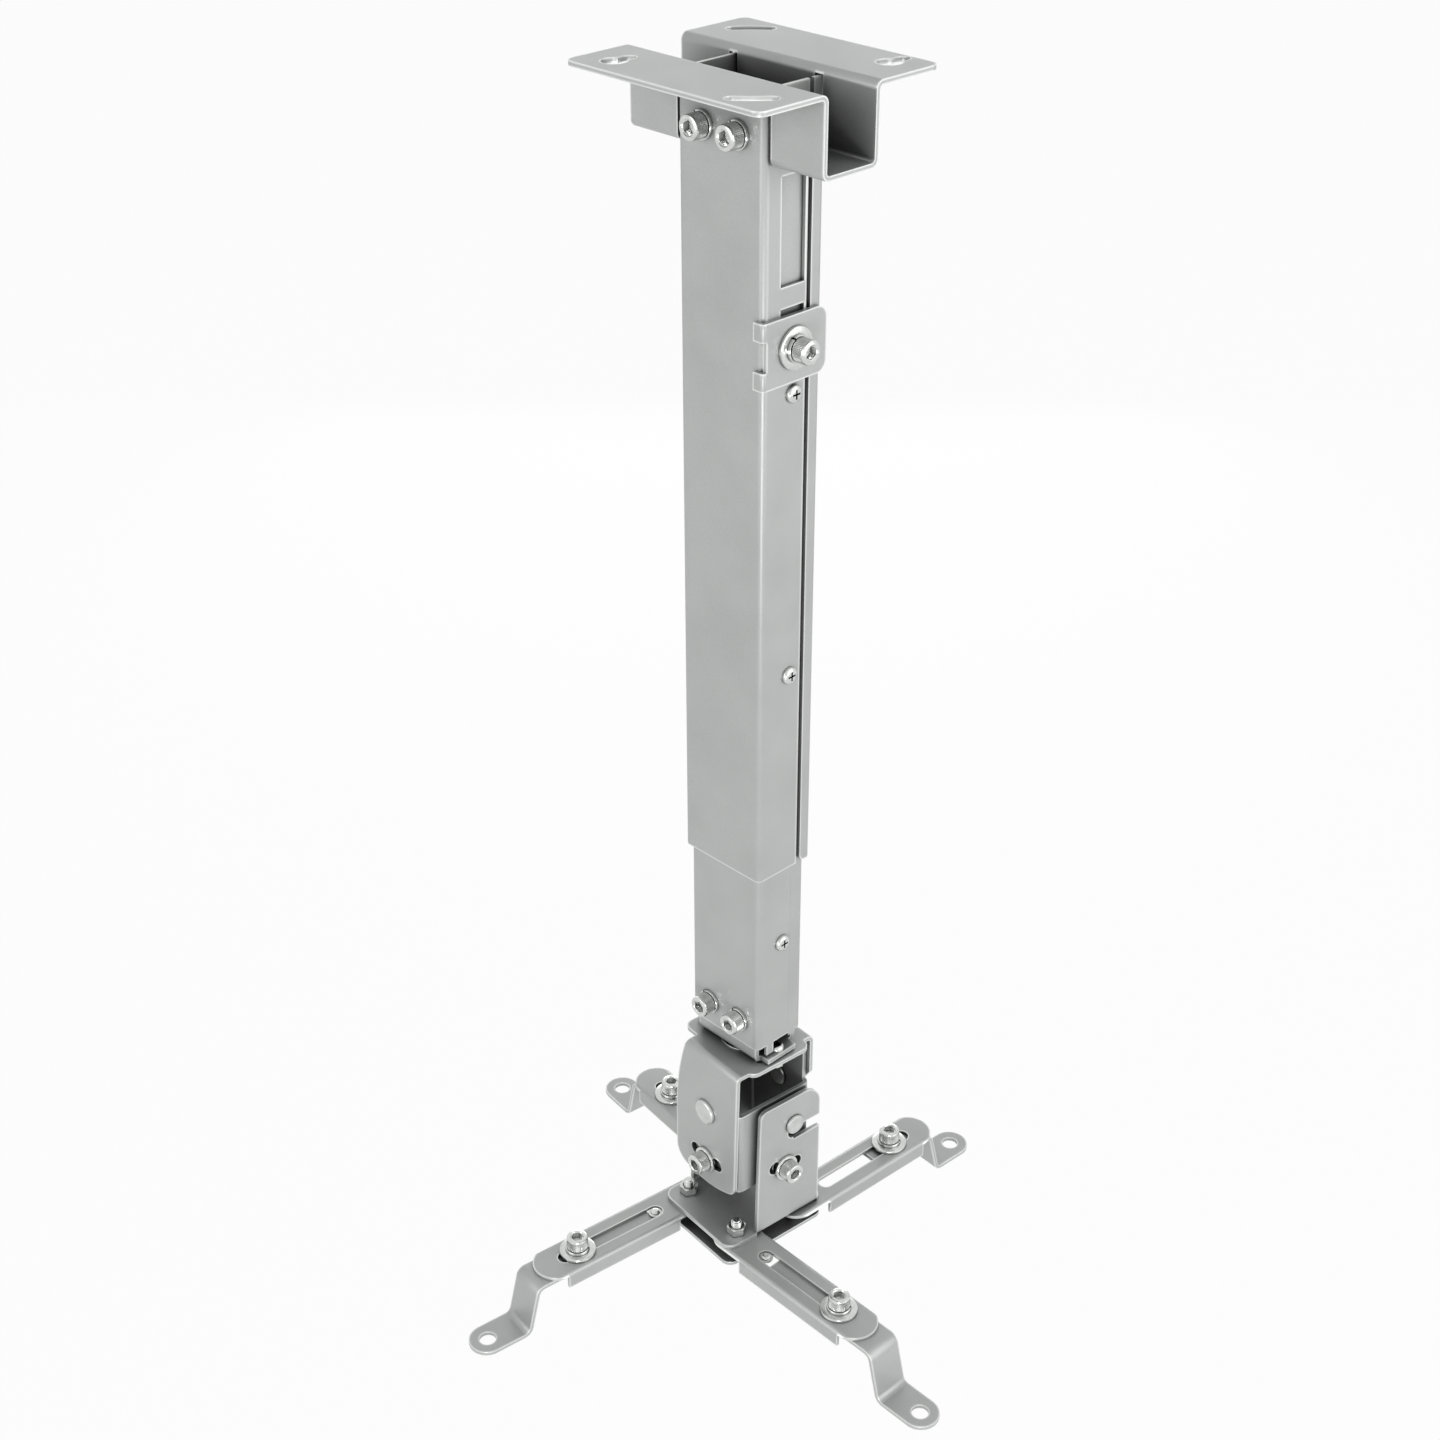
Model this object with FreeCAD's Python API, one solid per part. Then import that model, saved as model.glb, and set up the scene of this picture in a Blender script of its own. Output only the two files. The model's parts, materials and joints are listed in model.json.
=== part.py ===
import FreeCAD, Part
import math
import os

# Projector ceiling mount: a folded ceiling bracket, a telescopic column of two folded tubes,
# a swivel yoke, a roll link, a pitch bracket and four swinging arms with sliding feet.
# Millimetres, +Z up. The origin is the centre of the face that meets the ceiling,
# X runs along the ceiling bracket and Y across it.

V = FreeCAD.Vector
X_AXIS = V(1, 0, 0)
Y_AXIS = V(0, 1, 0)
Z_AXIS = V(0, 0, 1)
ORIGIN = V(0, 0, 0)

# Fits
flat_gap = 0.3            # between curved or painted faces on different bodies
pin_fit = 0.08            # radial running fit of a hinge pin
bolt_fit = 0.2            # radial clearance of a fixed bolt in its hole
bend_in = 1.2             # inner radius of the brackets' folds

# Ceiling bracket, a hat section open to the ceiling
bracket_length = 100.0
bracket_sheet = 2.0
flange_width = 33.0
channel_width = 24.6      # between the inner faces of the two walls
channel_depth = 31.0
flange_corner = 4.0
keyhole_radius = 4.9
keyhole_lobe_width = 5.2
keyhole_lobe_length = 7.5
keyhole_x = 35.5
keyhole_y = 34.8
slot_width = 5.6
slot_length = 19.0
slot_x = 35.5
slot_y = 35.2
wall_slot_margin = 1.4    # beside the tube's side wall where it passes through the bracket

# Outer tube
tube_width = 45.4
tube_sheet = 1.5
outer_top = 3.2
outer_length = 338.0
seam_width = 2.2
seam_y = 7.0
outer_corner = 2.6        # outer radius of a tube fold
sight_low = 78.0          # lower edge of the sight notch, below the ceiling
sight_high = 36.0
sight_width = 12.6
sight_y = -0.5
tab_height = 8.5
lock_slot_length = 30.0
lip_round = 3.0

# Inner tube
slide_gap = 0.3
inner_top = 34.5
inner_length = 400.0
foot_tab_width = 4.3
foot_tab_drop = 5.5       # hangs below the side wall, just clear of the end bracket's floor
foot_tab_y = -5.8
inner_chamfer = 3.0

# Bolts through the column
column_bolt_radius = 3.0
column_bolt_pitch = 18.6
top_bolt_drop = 21.5
bottom_bolt_rise = 12.5
bolt_end = 2.0            # thread that stands past a nut

# Height clamp
clamp_sheet = 2.0
clamp_high = 89.0
clamp_height = 27.0
clamp_hook_height = 7.5
clamp_hook_reach = 3.4
clamp_overhang = 0.6
clamp_corner = 5.0
clamp_bolt_drop = 102.0
clamp_bolt_y = -1.0

# Small cross-head screws
screw_radius = 2.0
screw_head_radius = 3.8
screw_head_height = 2.2
screw_head_chamfer = 1.1
screw_y = 0.5
screw_drops = (121.5, 245.0)
inner_screw_below = 39.8    # below the outer tube's lower edge

# Socket head bolts, washers and nuts
head_radius = 5.0
head_height = 6.0
socket_flats = 5.0
socket_depth = 3.0
washer_sheet = 1.6
washer_radius = 6.4
spring_washer_radius = 5.6
spring_washer_height = 1.5
nut_flats = 10.0
nut_height = 5.0

# End bracket and swivel
end_sheet = 2.5
end_length = 36.4
end_ear_reach = 23.0      # how far its floor stands out, each side of the swivel axis
end_floor_drop = 6.6      # its floor's upper face, below the inner tube's end
end_wall_height = 24.0
swivel_washer_height = 0.8
swivel_washer_radius = 12.0
swivel_radius = 4.0
swivel_flats = 13.0
swivel_head_height = 5.0
swivel_nut_height = 5.5
swivel_end = 1.0          # thread that stands past the swivel's nut
lock_screw_radius = 2.0
lock_screw_pitch = 19.3
lock_nut_flats = 7.0
lock_nut_height = 3.2
lock_head_radius = 3.4
lock_head_height = 2.4
lock_end = 1.6            # thread that stands past a lock nut
lock_spare = 1.0          # degrees that a lock screw's slot runs past the reach
swivel_reach = 20.0       # degrees each way from the column's own direction
head_turn = -5.1          # degrees, how the head is turned at rest

# Yoke
yoke_sheet = 2.0
yoke_width = 44.4         # front plate, at its top
yoke_foot_width = 40.0    # front plate, above its lower corners
yoke_depth = 48.0
yoke_drop = 75.5          # from the top plate's upper face to the lowest point
roll_drop = 32.6          # from the top plate's upper face to the roll axis
yoke_low_right = 37.6     # lower corners of the front plate, below the roll axis
yoke_low_left = 39.2
yoke_corner_right = 4.5
yoke_corner_left = 9.0
yoke_shoulder = 8.0
yoke_waist_drop = 10.0    # where the left edge leaves its full width, below the roll axis
yoke_swell = 1.6
yoke_swell_rise = 9.0
lobe_half = 24.8          # the top plate's side lobes
lobe_front = 17.3
lobe_back = 18.0
lobe_corner = 4.5
back_neck_half = 19.5     # the back plate's neck and its round end about the roll axis
back_neck_rise = 12.0
back_end_rise = 4.0
back_end_radius = 14.0
rivet_radius = 4.0
rivet_head_radius = 6.2
rivet_head_height = 2.0
rivet_chamfer = 0.5
rivet_tail_height = 1.0
rivet_tail_proud = 1.4
rivet_tail_gap = 0.2
roll_bolt_arm = 28.8      # from the roll axis down to its clamp bolt
roll_reach = 15.0
slot_spare = 0.8          # degrees that a clamp bolt's slot runs past the reach
short_end = 0.8           # thread that stands past a nut inside the head

# Roll link, a folded ring inside the yoke
link_sheet = 2.0
link_width = 41.0
link_top_gap = 1.0        # between the link's round top and the yoke's top plate
link_low = 38.0           # below the roll axis
link_side_high = 7.0      # top of the side walls above the roll axis
link_seam = 0.8

# Pitch bracket
base_sheet = 2.0
base_width = 50.2
base_depth = 59.0
base_shift = -1.5         # its plate's middle, ahead of the swivel axis
base_corner = 6.0
base_drop = 96.1          # from the yoke's top face to the plate's upper face
wall_front = -13.8
wall_back = 24.0
wall_lean = 1.8
wall_high = 71.0          # above the plate's upper face
wall_front_corner = 4.0
wall_back_corner = 10.0
pitch_y = 8.0
pitch_rise = 55.5         # pitch axis above the plate's upper face
pitch_bolt_ahead = 5.0    # the pitch's clamp bolt, ahead of the pitch axis
pitch_bolt_below = 23.5
pitch_reach = 15.0
pin_radius = 3.2
pin_collar_radius = 5.0
pin_head_radius = 4.8
pin_head_height = 1.4
pin_chamfer = 0.4
hook_drop = 5.0
hook_entry = 6.8
hook_entry_drop = 6.0     # the middle of the hook's way in, below the pitch axis

# Arms
arm_width = 22.0
arm_sheet = 1.5
arm_depth = 8.0
arm_length = 76.5         # from the pivot to the centre of its round end
arm_slot_width = 7.0
arm_slot_start = 20.0     # centre of the slot's inner end, from the pivot
arm_slot_margin = 5.0     # from the slot's outer end to the centre of the arm's round end
arm_flange_start = 13.0
arm_bend = 0.6            # inner radius of the arm's folds
corner_side_inset = 7.1   # the arms' pivots, in from the plate's edges
corner_front_inset = 10.4
corner_back_inset = 11.8
corner_radius = 2.5
corner_flats = 8.0
corner_nut_height = 4.2
corner_head_height = 3.5
corner_end = 3.2
spacer_radius = 4.4
spacer_gap = 0.05         # between the sleeves and the arms' top sheets
lower_corner = 5.0

# Feet
foot_width = 17.6
foot_sheet = 2.0
foot_drop = 24.0
foot_lean = 6.0
foot_bend = 3.0
pad_hole_radius = 3.85
long_tail = 42.0
short_tail = 13.0
long_run = 27.0           # bolt to the first fold
short_run = 21.0
pad_run = 18.0            # second fold to the pad's hole
foot_clear = 5.0          # how far the foot's blank stands past the folded strip while it is cut
drill_clear = 3.0         # how far the holes' rods stand out on each side of the foot's strip
big_washer_radius = 8.6

# Each arm: name, side in X, side in Y, direction at rest in degrees, how far its foot's bolt
# stands in from the slot's outer end, whether its foot is the long kind
arm_rows = (
    ("front_left", -1, -1, -92.5, 7.0, True),
    ("front_right", 1, -1, 4.5, 4.5, True),
    ("rear_right", 1, 1, 91.5, 8.5, False),
    ("rear_left", -1, 1, 178.0, 8.0, False),
)

# Levels and places that follow from the sizes above
channel_half = channel_width / 2
bracket_half = channel_half + bracket_sheet
tube_half_y = bracket_half + tube_sheet + 0.05
tube_half_x = tube_width / 2
outer_bottom = outer_top + outer_length
inner_screw_drop = outer_bottom + inner_screw_below
inner_half_x = tube_half_x - tube_sheet - slide_gap
inner_half_y = tube_half_y - tube_sheet - slide_gap
inner_bottom = inner_top + inner_length
end_half_y = inner_half_y - tube_sheet
end_floor = inner_bottom + end_floor_drop
end_low = end_floor + end_sheet
yoke_top = end_low + swivel_washer_height
yoke_low = yoke_top + yoke_drop
roll_level = yoke_top + roll_drop
base_level = yoke_top + base_drop
pitch_level = base_level - pitch_rise
wall_outer = base_width / 2
wall_inner = wall_outer - base_sheet
yoke_half_y = yoke_depth / 2
link_half_y = yoke_half_y - yoke_sheet - flat_gap
link_half_x = link_width / 2
link_round = roll_drop - yoke_sheet - link_top_gap
pitch_bolt_y = pitch_y - pitch_bolt_ahead
pitch_bolt_level = pitch_level + pitch_bolt_below
arm_slot_end = arm_length - arm_slot_margin
corner_x = wall_outer - corner_side_inset
corner_front = base_depth / 2 - base_shift - corner_front_inset
corner_back = base_depth / 2 + base_shift - corner_back_inset
arm_top = base_level + base_sheet
arm_low = arm_top + arm_depth
strip_top = arm_top + arm_sheet
pad_level = strip_top + foot_drop


def box(x0, x1, y0, y1, z0, z1):
    """A block between two corners."""
    return Part.makeBox(x1 - x0, y1 - y0, z1 - z0, V(x0, y0, z0))


def rod(radius, start, direction, length):
    """A round bar from a start point."""
    return Part.makeCylinder(radius, length, start, direction)


def hexagon(flats, start, direction, length, side):
    """A six-sided bar; side is a direction in its face that points at a corner."""
    across = side.normalize()
    up = direction.cross(across).normalize()
    corner = flats / math.sqrt(3)
    points = []
    for i in range(7):
        angle = math.radians(60 * i)
        points.append(start + across * (corner * math.cos(angle)) + up * (corner * math.sin(angle)))
    face = Part.Face(Part.makePolygon(points))
    return face.extrude(V(direction).normalize() * length)


def fold_edges(path, offset, radius):
    """Edges of a line that runs beside a folded path, with its folds rounded about one centre."""
    count = len(path)
    starts = []
    stops = []
    arcs = []
    for i in range(1, count - 1):
        before = (path[i] - path[i - 1]).normalize()
        after = (path[i + 1] - path[i]).normalize()
        turn = math.acos(max(-1.0, min(1.0, before.dot(after))))
        cut = radius * math.tan(turn / 2)
        side = 1 if before.cross(after).z > 0 else -1
        first = path[i] - before * cut
        last = path[i] + after * cut
        inward = Z_AXIS.cross(before) * side
        centre = first + inward * radius
        own = radius - offset * side
        middle_dir = (path[i] - centre).normalize()
        starts.append(centre - inward * own)
        stops.append(centre + (last - centre).normalize() * own)
        arcs.append(centre + middle_dir * own)
    first_side = Z_AXIS.cross((path[1] - path[0]).normalize())
    last_side = Z_AXIS.cross((path[-1] - path[-2]).normalize())
    here = path[0] + first_side * offset
    edges = []
    points = [here]
    for i in range(count - 2):
        edges.append(Part.LineSegment(here, starts[i]).toShape())
        edges.append(Part.Arc(starts[i], arcs[i], stops[i]).toShape())
        here = stops[i]
    end = path[-1] + last_side * offset
    edges.append(Part.LineSegment(here, end).toShape())
    points.append(end)
    return edges, points


def folded_sheet(path, sheet, length, inner_radius):
    """A sheet folded along a path in the XY plane and drawn out along +Z."""
    vectors = [V(u, v, 0) for u, v in path]
    radius = inner_radius + sheet / 2
    left, left_ends = fold_edges(vectors, sheet / 2, radius)
    right, right_ends = fold_edges(vectors, -sheet / 2, radius)
    caps = [
        Part.LineSegment(left_ends[0], right_ends[0]).toShape(),
        Part.LineSegment(left_ends[1], right_ends[1]).toShape(),
    ]
    wire = Part.Wire(Part.__sortEdges__(left + right + caps))
    return Part.Face(wire).extrude(Z_AXIS * length)


def placed(shape, x_dir, y_dir, origin):
    """A shape moved so that its own X and Y run along the given directions."""
    z_dir = x_dir.cross(y_dir)
    matrix = FreeCAD.Matrix(
        x_dir.x, y_dir.x, z_dir.x, origin.x,
        x_dir.y, y_dir.y, z_dir.y, origin.y,
        x_dir.z, y_dir.z, z_dir.z, origin.z,
        0, 0, 0, 1)
    copy = shape.copy()
    copy.Placement = FreeCAD.Placement(matrix)
    return copy


def round_slot(start, stop, radius, axis, length):
    """A bar with two round ends, used to cut a slot."""
    across = (stop - start).normalize()
    side = V(axis).normalize().cross(across) * radius
    points = [start + side, stop + side, stop - side, start - side, start + side]
    body = Part.Face(Part.makePolygon(points)).extrude(V(axis).normalize() * length)
    return body.fuse([rod(radius, start, axis, length), rod(radius, stop, axis, length)])


def arc_slot(centre, arm, radius, half_angle, axis, length):
    """A slot bent about a centre; arm goes from the centre to the slot's middle."""
    unit = V(axis).normalize()
    reach = arm.Length
    ends = []
    for sign in (-1, 1):
        ends.append(centre + FreeCAD.Rotation(unit, sign * half_angle).multVec(arm))
    outer = []
    inner = []
    for angle in (-half_angle, 0, half_angle):
        turned = FreeCAD.Rotation(unit, angle).multVec(arm)
        outer.append(centre + turned * ((reach + radius) / reach))
        inner.append(centre + turned * ((reach - radius) / reach))
    wire = Part.Wire([
        Part.Arc(outer[0], outer[1], outer[2]).toShape(),
        Part.LineSegment(outer[2], inner[2]).toShape(),
        Part.Arc(inner[2], inner[1], inner[0]).toShape(),
        Part.LineSegment(inner[0], outer[0]).toShape(),
    ])
    body = Part.Face(wire).extrude(unit * length)
    return body.fuse([rod(radius, end, unit, length) for end in ends])


def rounded_plate(x0, x1, y0, y1, z0, z1, radius):
    """A flat plate with round corners."""
    plate = box(x0, x1, y0, y1, z0, z1)
    upright = [e for e in plate.Edges if abs(e.tangentAt(e.FirstParameter).z) > 0.99]
    return plate.makeFillet(radius, upright)


def turned_head(shape):
    """A piece of the head, turned as the head stands at rest."""
    copy = shape.copy()
    copy.rotate(ORIGIN, Z_AXIS, head_turn)
    return copy


def socket_bolt(seat, outward, shank, radius, head_r=head_radius, head_h=head_height):
    """A socket head bolt; seat is where its head meets the work, outward points to the head."""
    out = V(outward).normalize()
    head = rod(head_r, seat, out, head_h)
    rim = [e for e in head.Edges if e.Closed and (e.CenterOfMass - seat).dot(out) > head_h / 2]
    head = head.makeChamfer(0.5, rim[:1])
    side = V(out.y, out.z, out.x)
    side = (side - out * side.dot(out)).normalize()
    socket = hexagon(socket_flats, seat + out * (head_h - socket_depth), out, socket_depth, side)
    body = rod(radius, seat - out * shank, out, shank)
    return head.cut(socket).fuse(body).removeSplitter()


def washer(seat, outward, inner_radius, outer_radius, height):
    """A plain ring that lies on the seat."""
    ring = rod(outer_radius, seat, outward, height)
    return ring.cut(rod(inner_radius, seat, outward, height))


def hex_nut(seat, outward, radius, flats, height):
    """A six-sided nut with its corners turned off."""
    out = V(outward).normalize()
    side = V(out.y, out.z, out.x)
    side = (side - out * side.dot(out)).normalize()
    body = hexagon(flats, seat, out, height, side)
    corner = flats / math.sqrt(3)
    limit = rod((flats / 2 + 3 * corner) / 4, seat, out, height)
    return body.common(limit).cut(rod(radius, seat, out, height))


def pan_screw(seat, outward, shank):
    """A small screw with a low domed head."""
    out = V(outward).normalize()
    head = rod(screw_head_radius, seat, out, screw_head_height)
    rim = [e for e in head.Edges if e.Closed and (e.CenterOfMass - seat).dot(out) > screw_head_height / 2]
    head = head.makeChamfer(screw_head_chamfer, rim[:1])
    return head.fuse(rod(screw_radius, seat - out * shank, out, shank)).removeSplitter()


def make_ceiling_bracket():
    """The hat section with its keyholes, slots and passages for the tube."""
    half = bracket_sheet / 2
    far = channel_half + half + flange_width
    path = [
        (-far, -half),
        (-channel_half - half, -half),
        (-channel_half - half, -channel_depth + half),
        (channel_half + half, -channel_depth + half),
        (channel_half + half, -half),
        (far, -half),
    ]
    sheet = folded_sheet(path, bracket_sheet, bracket_length, bend_in)
    shape = placed(sheet, Y_AXIS, Z_AXIS, V(-bracket_length / 2, 0, 0))
    corners = []
    for edge in shape.Edges:
        middle = edge.CenterOfMass
        if edge.Length < bracket_sheet * 1.01 and abs(middle.y) > far - 0.01 and abs(middle.z + half) < 0.01:
            corners.append(edge)
    shape = shape.makeFillet(flange_corner, corners)
    low = V(0, 0, -bracket_sheet * 1.5)
    depth = bracket_sheet * 2
    for sign in (-1, 1):
        centre = V(sign * keyhole_x, sign * keyhole_y, 0) + low
        shape = shape.cut(rod(keyhole_radius, centre, Z_AXIS, depth))
        stop = centre + V(0, keyhole_lobe_length, 0)
        shape = shape.cut(round_slot(centre, stop, keyhole_lobe_width / 2, Z_AXIS, depth))
        middle = V(sign * slot_x, -sign * slot_y, 0) + low
        angle = math.atan2(middle.y, middle.x)
        arm = V(middle.x, middle.y, 0)
        spread = math.degrees((slot_length - slot_width) / 2 / arm.Length)
        base = V(0, 0, low.z)
        shape = shape.cut(arc_slot(base, arm, slot_width / 2, spread, Z_AXIS, depth))
    side = tube_half_x - tube_sheet / 2
    gap = tube_sheet / 2 + wall_slot_margin
    for sign in (-1, 1):
        shape = shape.cut(box(
            sign * side - gap, sign * side + gap,
            -bracket_half - 1, bracket_half + 1,
            -channel_depth - 1, -outer_top + 0.6))
    for sign in (-1, 1):
        start = V(sign * column_bolt_pitch / 2, -bracket_half - 1, -top_bolt_drop)
        shape = shape.cut(rod(column_bolt_radius + bolt_fit, start, Y_AXIS, 2 * bracket_half + 2))
    return shape


def tube_profile(half_x, half_y):
    """The path of a folded tube whose seam is in the +X wall."""
    x = half_x - tube_sheet / 2
    y = half_y - tube_sheet / 2
    return [(x, seam_y), (x, -y), (-x, -y), (-x, y), (x, y), (x, seam_y + seam_width)]


def make_outer_tube():
    """The outer tube: one folded sheet with a seam, a sight notch and the clamp's slot."""
    sheet = folded_sheet(tube_profile(tube_half_x, tube_half_y), tube_sheet, outer_length,
                         outer_corner - tube_sheet)
    shape = placed(sheet, X_AXIS, Y_AXIS, V(0, 0, -outer_bottom))
    inside = tube_half_x - tube_sheet - 1
    outside = tube_half_x + 1
    shape = shape.cut(box(inside, outside, sight_y - sight_width / 2, sight_y + sight_width / 2,
                          -sight_low, -sight_high))
    lock_top = sight_low + tab_height
    shape = shape.cut(box(inside, outside, sight_y - sight_width / 2, sight_y + sight_width / 2,
                          -lock_top - lock_slot_length, -lock_top))
    for drop in screw_drops:
        shape = shape.cut(rod(screw_radius, V(inside, screw_y, -drop), X_AXIS, 4))
    for sign in (-1, 1):
        start = V(sign * column_bolt_pitch / 2, -tube_half_y - 1, -top_bolt_drop)
        shape = shape.cut(rod(column_bolt_radius + bolt_fit, start, Y_AXIS, 2 * tube_half_y + 2))
    lip_depth = tube_half_y - seam_y - seam_width
    corner = box(inside, outside, seam_y + seam_width, seam_y + seam_width + lip_round,
                 -outer_bottom, -outer_bottom + lip_round)
    round_bar = rod(lip_round, V(inside, seam_y + seam_width + lip_round, -outer_bottom + lip_round),
                    X_AXIS, outside - inside)
    if lip_depth > lip_round:
        shape = shape.cut(corner.cut(round_bar))
    return shape


def make_inner_tube():
    """The inner tube: the same folded form, one sheet smaller, with notches at its foot."""
    sheet = folded_sheet(tube_profile(inner_half_x, inner_half_y), tube_sheet, inner_length,
                         outer_corner - tube_sheet)
    shape = placed(sheet, X_AXIS, Y_AXIS, V(0, 0, -inner_bottom))
    inside = inner_half_x - tube_sheet - 1
    outside = inner_half_x + 1
    tab = box(inner_half_x - tube_sheet, inner_half_x, foot_tab_y - foot_tab_width / 2,
              foot_tab_y + foot_tab_width / 2, -inner_bottom - foot_tab_drop, -inner_bottom + foot_tab_drop)
    shape = shape.fuse(tab).removeSplitter()
    shape = shape.cut(rod(screw_radius, V(inside, screw_y, -inner_screw_drop), X_AXIS, outside - inside))
    for sign in (-1, 1):
        start = V(sign * column_bolt_pitch / 2, -inner_half_y - 1, -inner_bottom + bottom_bolt_rise)
        shape = shape.cut(rod(column_bolt_radius + bolt_fit, start, Y_AXIS, 2 * inner_half_y + 2))
    chamfer = Part.Face(Part.makePolygon([
        V(-inner_half_x - 1, 0, -inner_bottom - 1),
        V(-inner_half_x + inner_chamfer - 1, 0, -inner_bottom - 1),
        V(-inner_half_x - 1, 0, -inner_bottom + inner_chamfer + 1),
        V(-inner_half_x - 1, 0, -inner_bottom - 1),
    ])).extrude(V(0, 4 * inner_half_y, 0))
    chamfer.translate(V(0, -2 * inner_half_y, 0))
    return shape.cut(chamfer)


def make_column_bolts(front, back, level):
    """Two bolts from the front to the back of the column."""
    bolts = []
    for sign in (-1, 1):
        seat = V(sign * column_bolt_pitch / 2, -front, -level)
        bolts.append(socket_bolt(seat, -Y_AXIS, front + back + nut_height + bolt_end, column_bolt_radius))
    return Part.makeCompound(bolts)


def make_column_washers(front, level):
    """Washers under the heads of a pair of column bolts."""
    rings = []
    for sign in (-1, 1):
        seat = V(sign * column_bolt_pitch / 2, -front, -level)
        rings.append(washer(seat, -Y_AXIS, column_bolt_radius, spring_washer_radius, spring_washer_height))
    return Part.makeCompound(rings)


def make_column_nuts(back, level):
    """Nuts on the back of the column."""
    nuts = []
    for sign in (-1, 1):
        seat = V(sign * column_bolt_pitch / 2, back, -level)
        nuts.append(hex_nut(seat, Y_AXIS, column_bolt_radius, nut_flats, nut_height))
    return Part.makeCompound(nuts)


def make_clamp_plate():
    """The plate that presses on the column, with two hooks round the tube's front corner."""
    outer = tube_half_x
    back = tube_half_y + clamp_overhang
    front = -tube_half_y
    plate = box(outer, outer + clamp_sheet, front, back, -clamp_high - clamp_height, -clamp_high)
    ends = []
    for edge in plate.Edges:
        middle = edge.CenterOfMass
        if abs(middle.y - back) < 0.01 and abs(edge.tangentAt(0).x) > 0.99:
            ends.append(edge)
    plate = plate.makeFillet(clamp_corner, ends)
    for level in (-clamp_high - clamp_hook_height, -clamp_high - clamp_height):
        bridge = box(outer, outer + clamp_sheet, front - clamp_sheet, front, level, level + clamp_hook_height)
        tooth = box(outer - clamp_hook_reach, outer, front - clamp_sheet, front,
                    level, level + clamp_hook_height)
        hook = bridge.fuse(tooth)
        plate = plate.fuse(hook)
    plate = plate.removeSplitter()
    bends = []
    for edge in plate.Edges:
        middle = edge.CenterOfMass
        near = abs(middle.x - outer - clamp_sheet) < 0.01 and abs(middle.y - front + clamp_sheet) < 0.01
        if near and abs(edge.tangentAt(edge.FirstParameter).z) > 0.99:
            bends.append(edge)
    plate = plate.makeFillet(clamp_sheet * 0.9, bends)
    hole = rod(column_bolt_radius, V(outer - 1, clamp_bolt_y, -clamp_bolt_drop), X_AXIS, clamp_sheet + 2)
    return plate.cut(hole)


def make_clamp_bolt():
    """The bolt that presses on the inner tube."""
    seat = V(tube_half_x + clamp_sheet + washer_sheet + spring_washer_height, clamp_bolt_y, -clamp_bolt_drop)
    shank = seat.x - inner_half_x - slide_gap / 2
    return socket_bolt(seat, X_AXIS, shank, column_bolt_radius)


def make_clamp_washers():
    """The flat and the spring washer under the clamp bolt's head."""
    seat = V(tube_half_x + clamp_sheet, clamp_bolt_y, -clamp_bolt_drop)
    flat = washer(seat, X_AXIS, column_bolt_radius, big_washer_radius, washer_sheet)
    spring = washer(seat + X_AXIS * washer_sheet, X_AXIS, column_bolt_radius,
                    spring_washer_radius, spring_washer_height)
    return Part.makeCompound([flat, spring])


def make_outer_screws():
    """Two cross-head screws in the outer tube's side wall, flush inside."""
    screws = []
    for drop in screw_drops:
        screws.append(pan_screw(V(tube_half_x, screw_y, -drop), X_AXIS, tube_sheet))
    return Part.makeCompound(screws)


def make_inner_screw():
    """The cross-head screw in the inner tube's side wall."""
    return pan_screw(V(inner_half_x, screw_y, -inner_screw_drop), X_AXIS, tube_sheet)


def make_end_bracket():
    """The channel in the inner tube's foot; its floor hangs below the tube and carries the swivel."""
    y = end_half_y - end_sheet / 2
    low = -end_low + end_sheet / 2
    high = -inner_bottom + end_wall_height
    path = [(-y, high), (-y, low), (y, low), (y, high)]
    sheet = folded_sheet(path, end_sheet, 2 * end_ear_reach, bend_in)
    shape = placed(sheet, Y_AXIS, Z_AXIS, V(-end_ear_reach, 0, 0))
    ear_half = end_half_y - end_sheet - bend_in
    walls = box(-end_length / 2, end_length / 2, -end_half_y, end_half_y, -end_low, high)
    ears = box(-end_ear_reach, end_ear_reach, -ear_half, ear_half, -end_low, -end_floor)
    shape = shape.common(walls.fuse(ears)).removeSplitter()
    for sign in (-1, 1):
        start = V(sign * column_bolt_pitch / 2, -end_half_y - 1, -inner_bottom + bottom_bolt_rise)
        shape = shape.cut(rod(column_bolt_radius + bolt_fit, start, Y_AXIS, 2 * end_half_y + 2))
        start = V(sign * lock_screw_pitch, 0, -end_low - 1)
        shape = shape.cut(rod(lock_screw_radius + bolt_fit, start, Z_AXIS, end_sheet + 2))
    return shape.cut(rod(swivel_radius + bolt_fit, V(0, 0, -end_low - 1), Z_AXIS, end_sheet + 2))


def make_swivel_washer():
    """The friction washer between the end bracket and the yoke."""
    seat = V(0, 0, -yoke_top)
    return washer(seat, Z_AXIS, swivel_radius + bolt_fit, swivel_washer_radius, swivel_washer_height)


def make_swivel_bolt():
    """The vertical bolt that the head turns on."""
    seat = V(0, 0, -end_floor)
    head = hexagon(swivel_flats, seat, Z_AXIS, swivel_head_height, V(1, 0, 0))
    low = yoke_top + yoke_sheet + swivel_nut_height + swivel_end
    return head.fuse(rod(swivel_radius, V(0, 0, -low), Z_AXIS, low - end_floor)).removeSplitter()


def make_swivel_nut():
    """The nut under the yoke's top plate."""
    seat = V(0, 0, -yoke_top - yoke_sheet)
    return hex_nut(seat, -Z_AXIS, swivel_radius, swivel_flats, swivel_nut_height)


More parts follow.
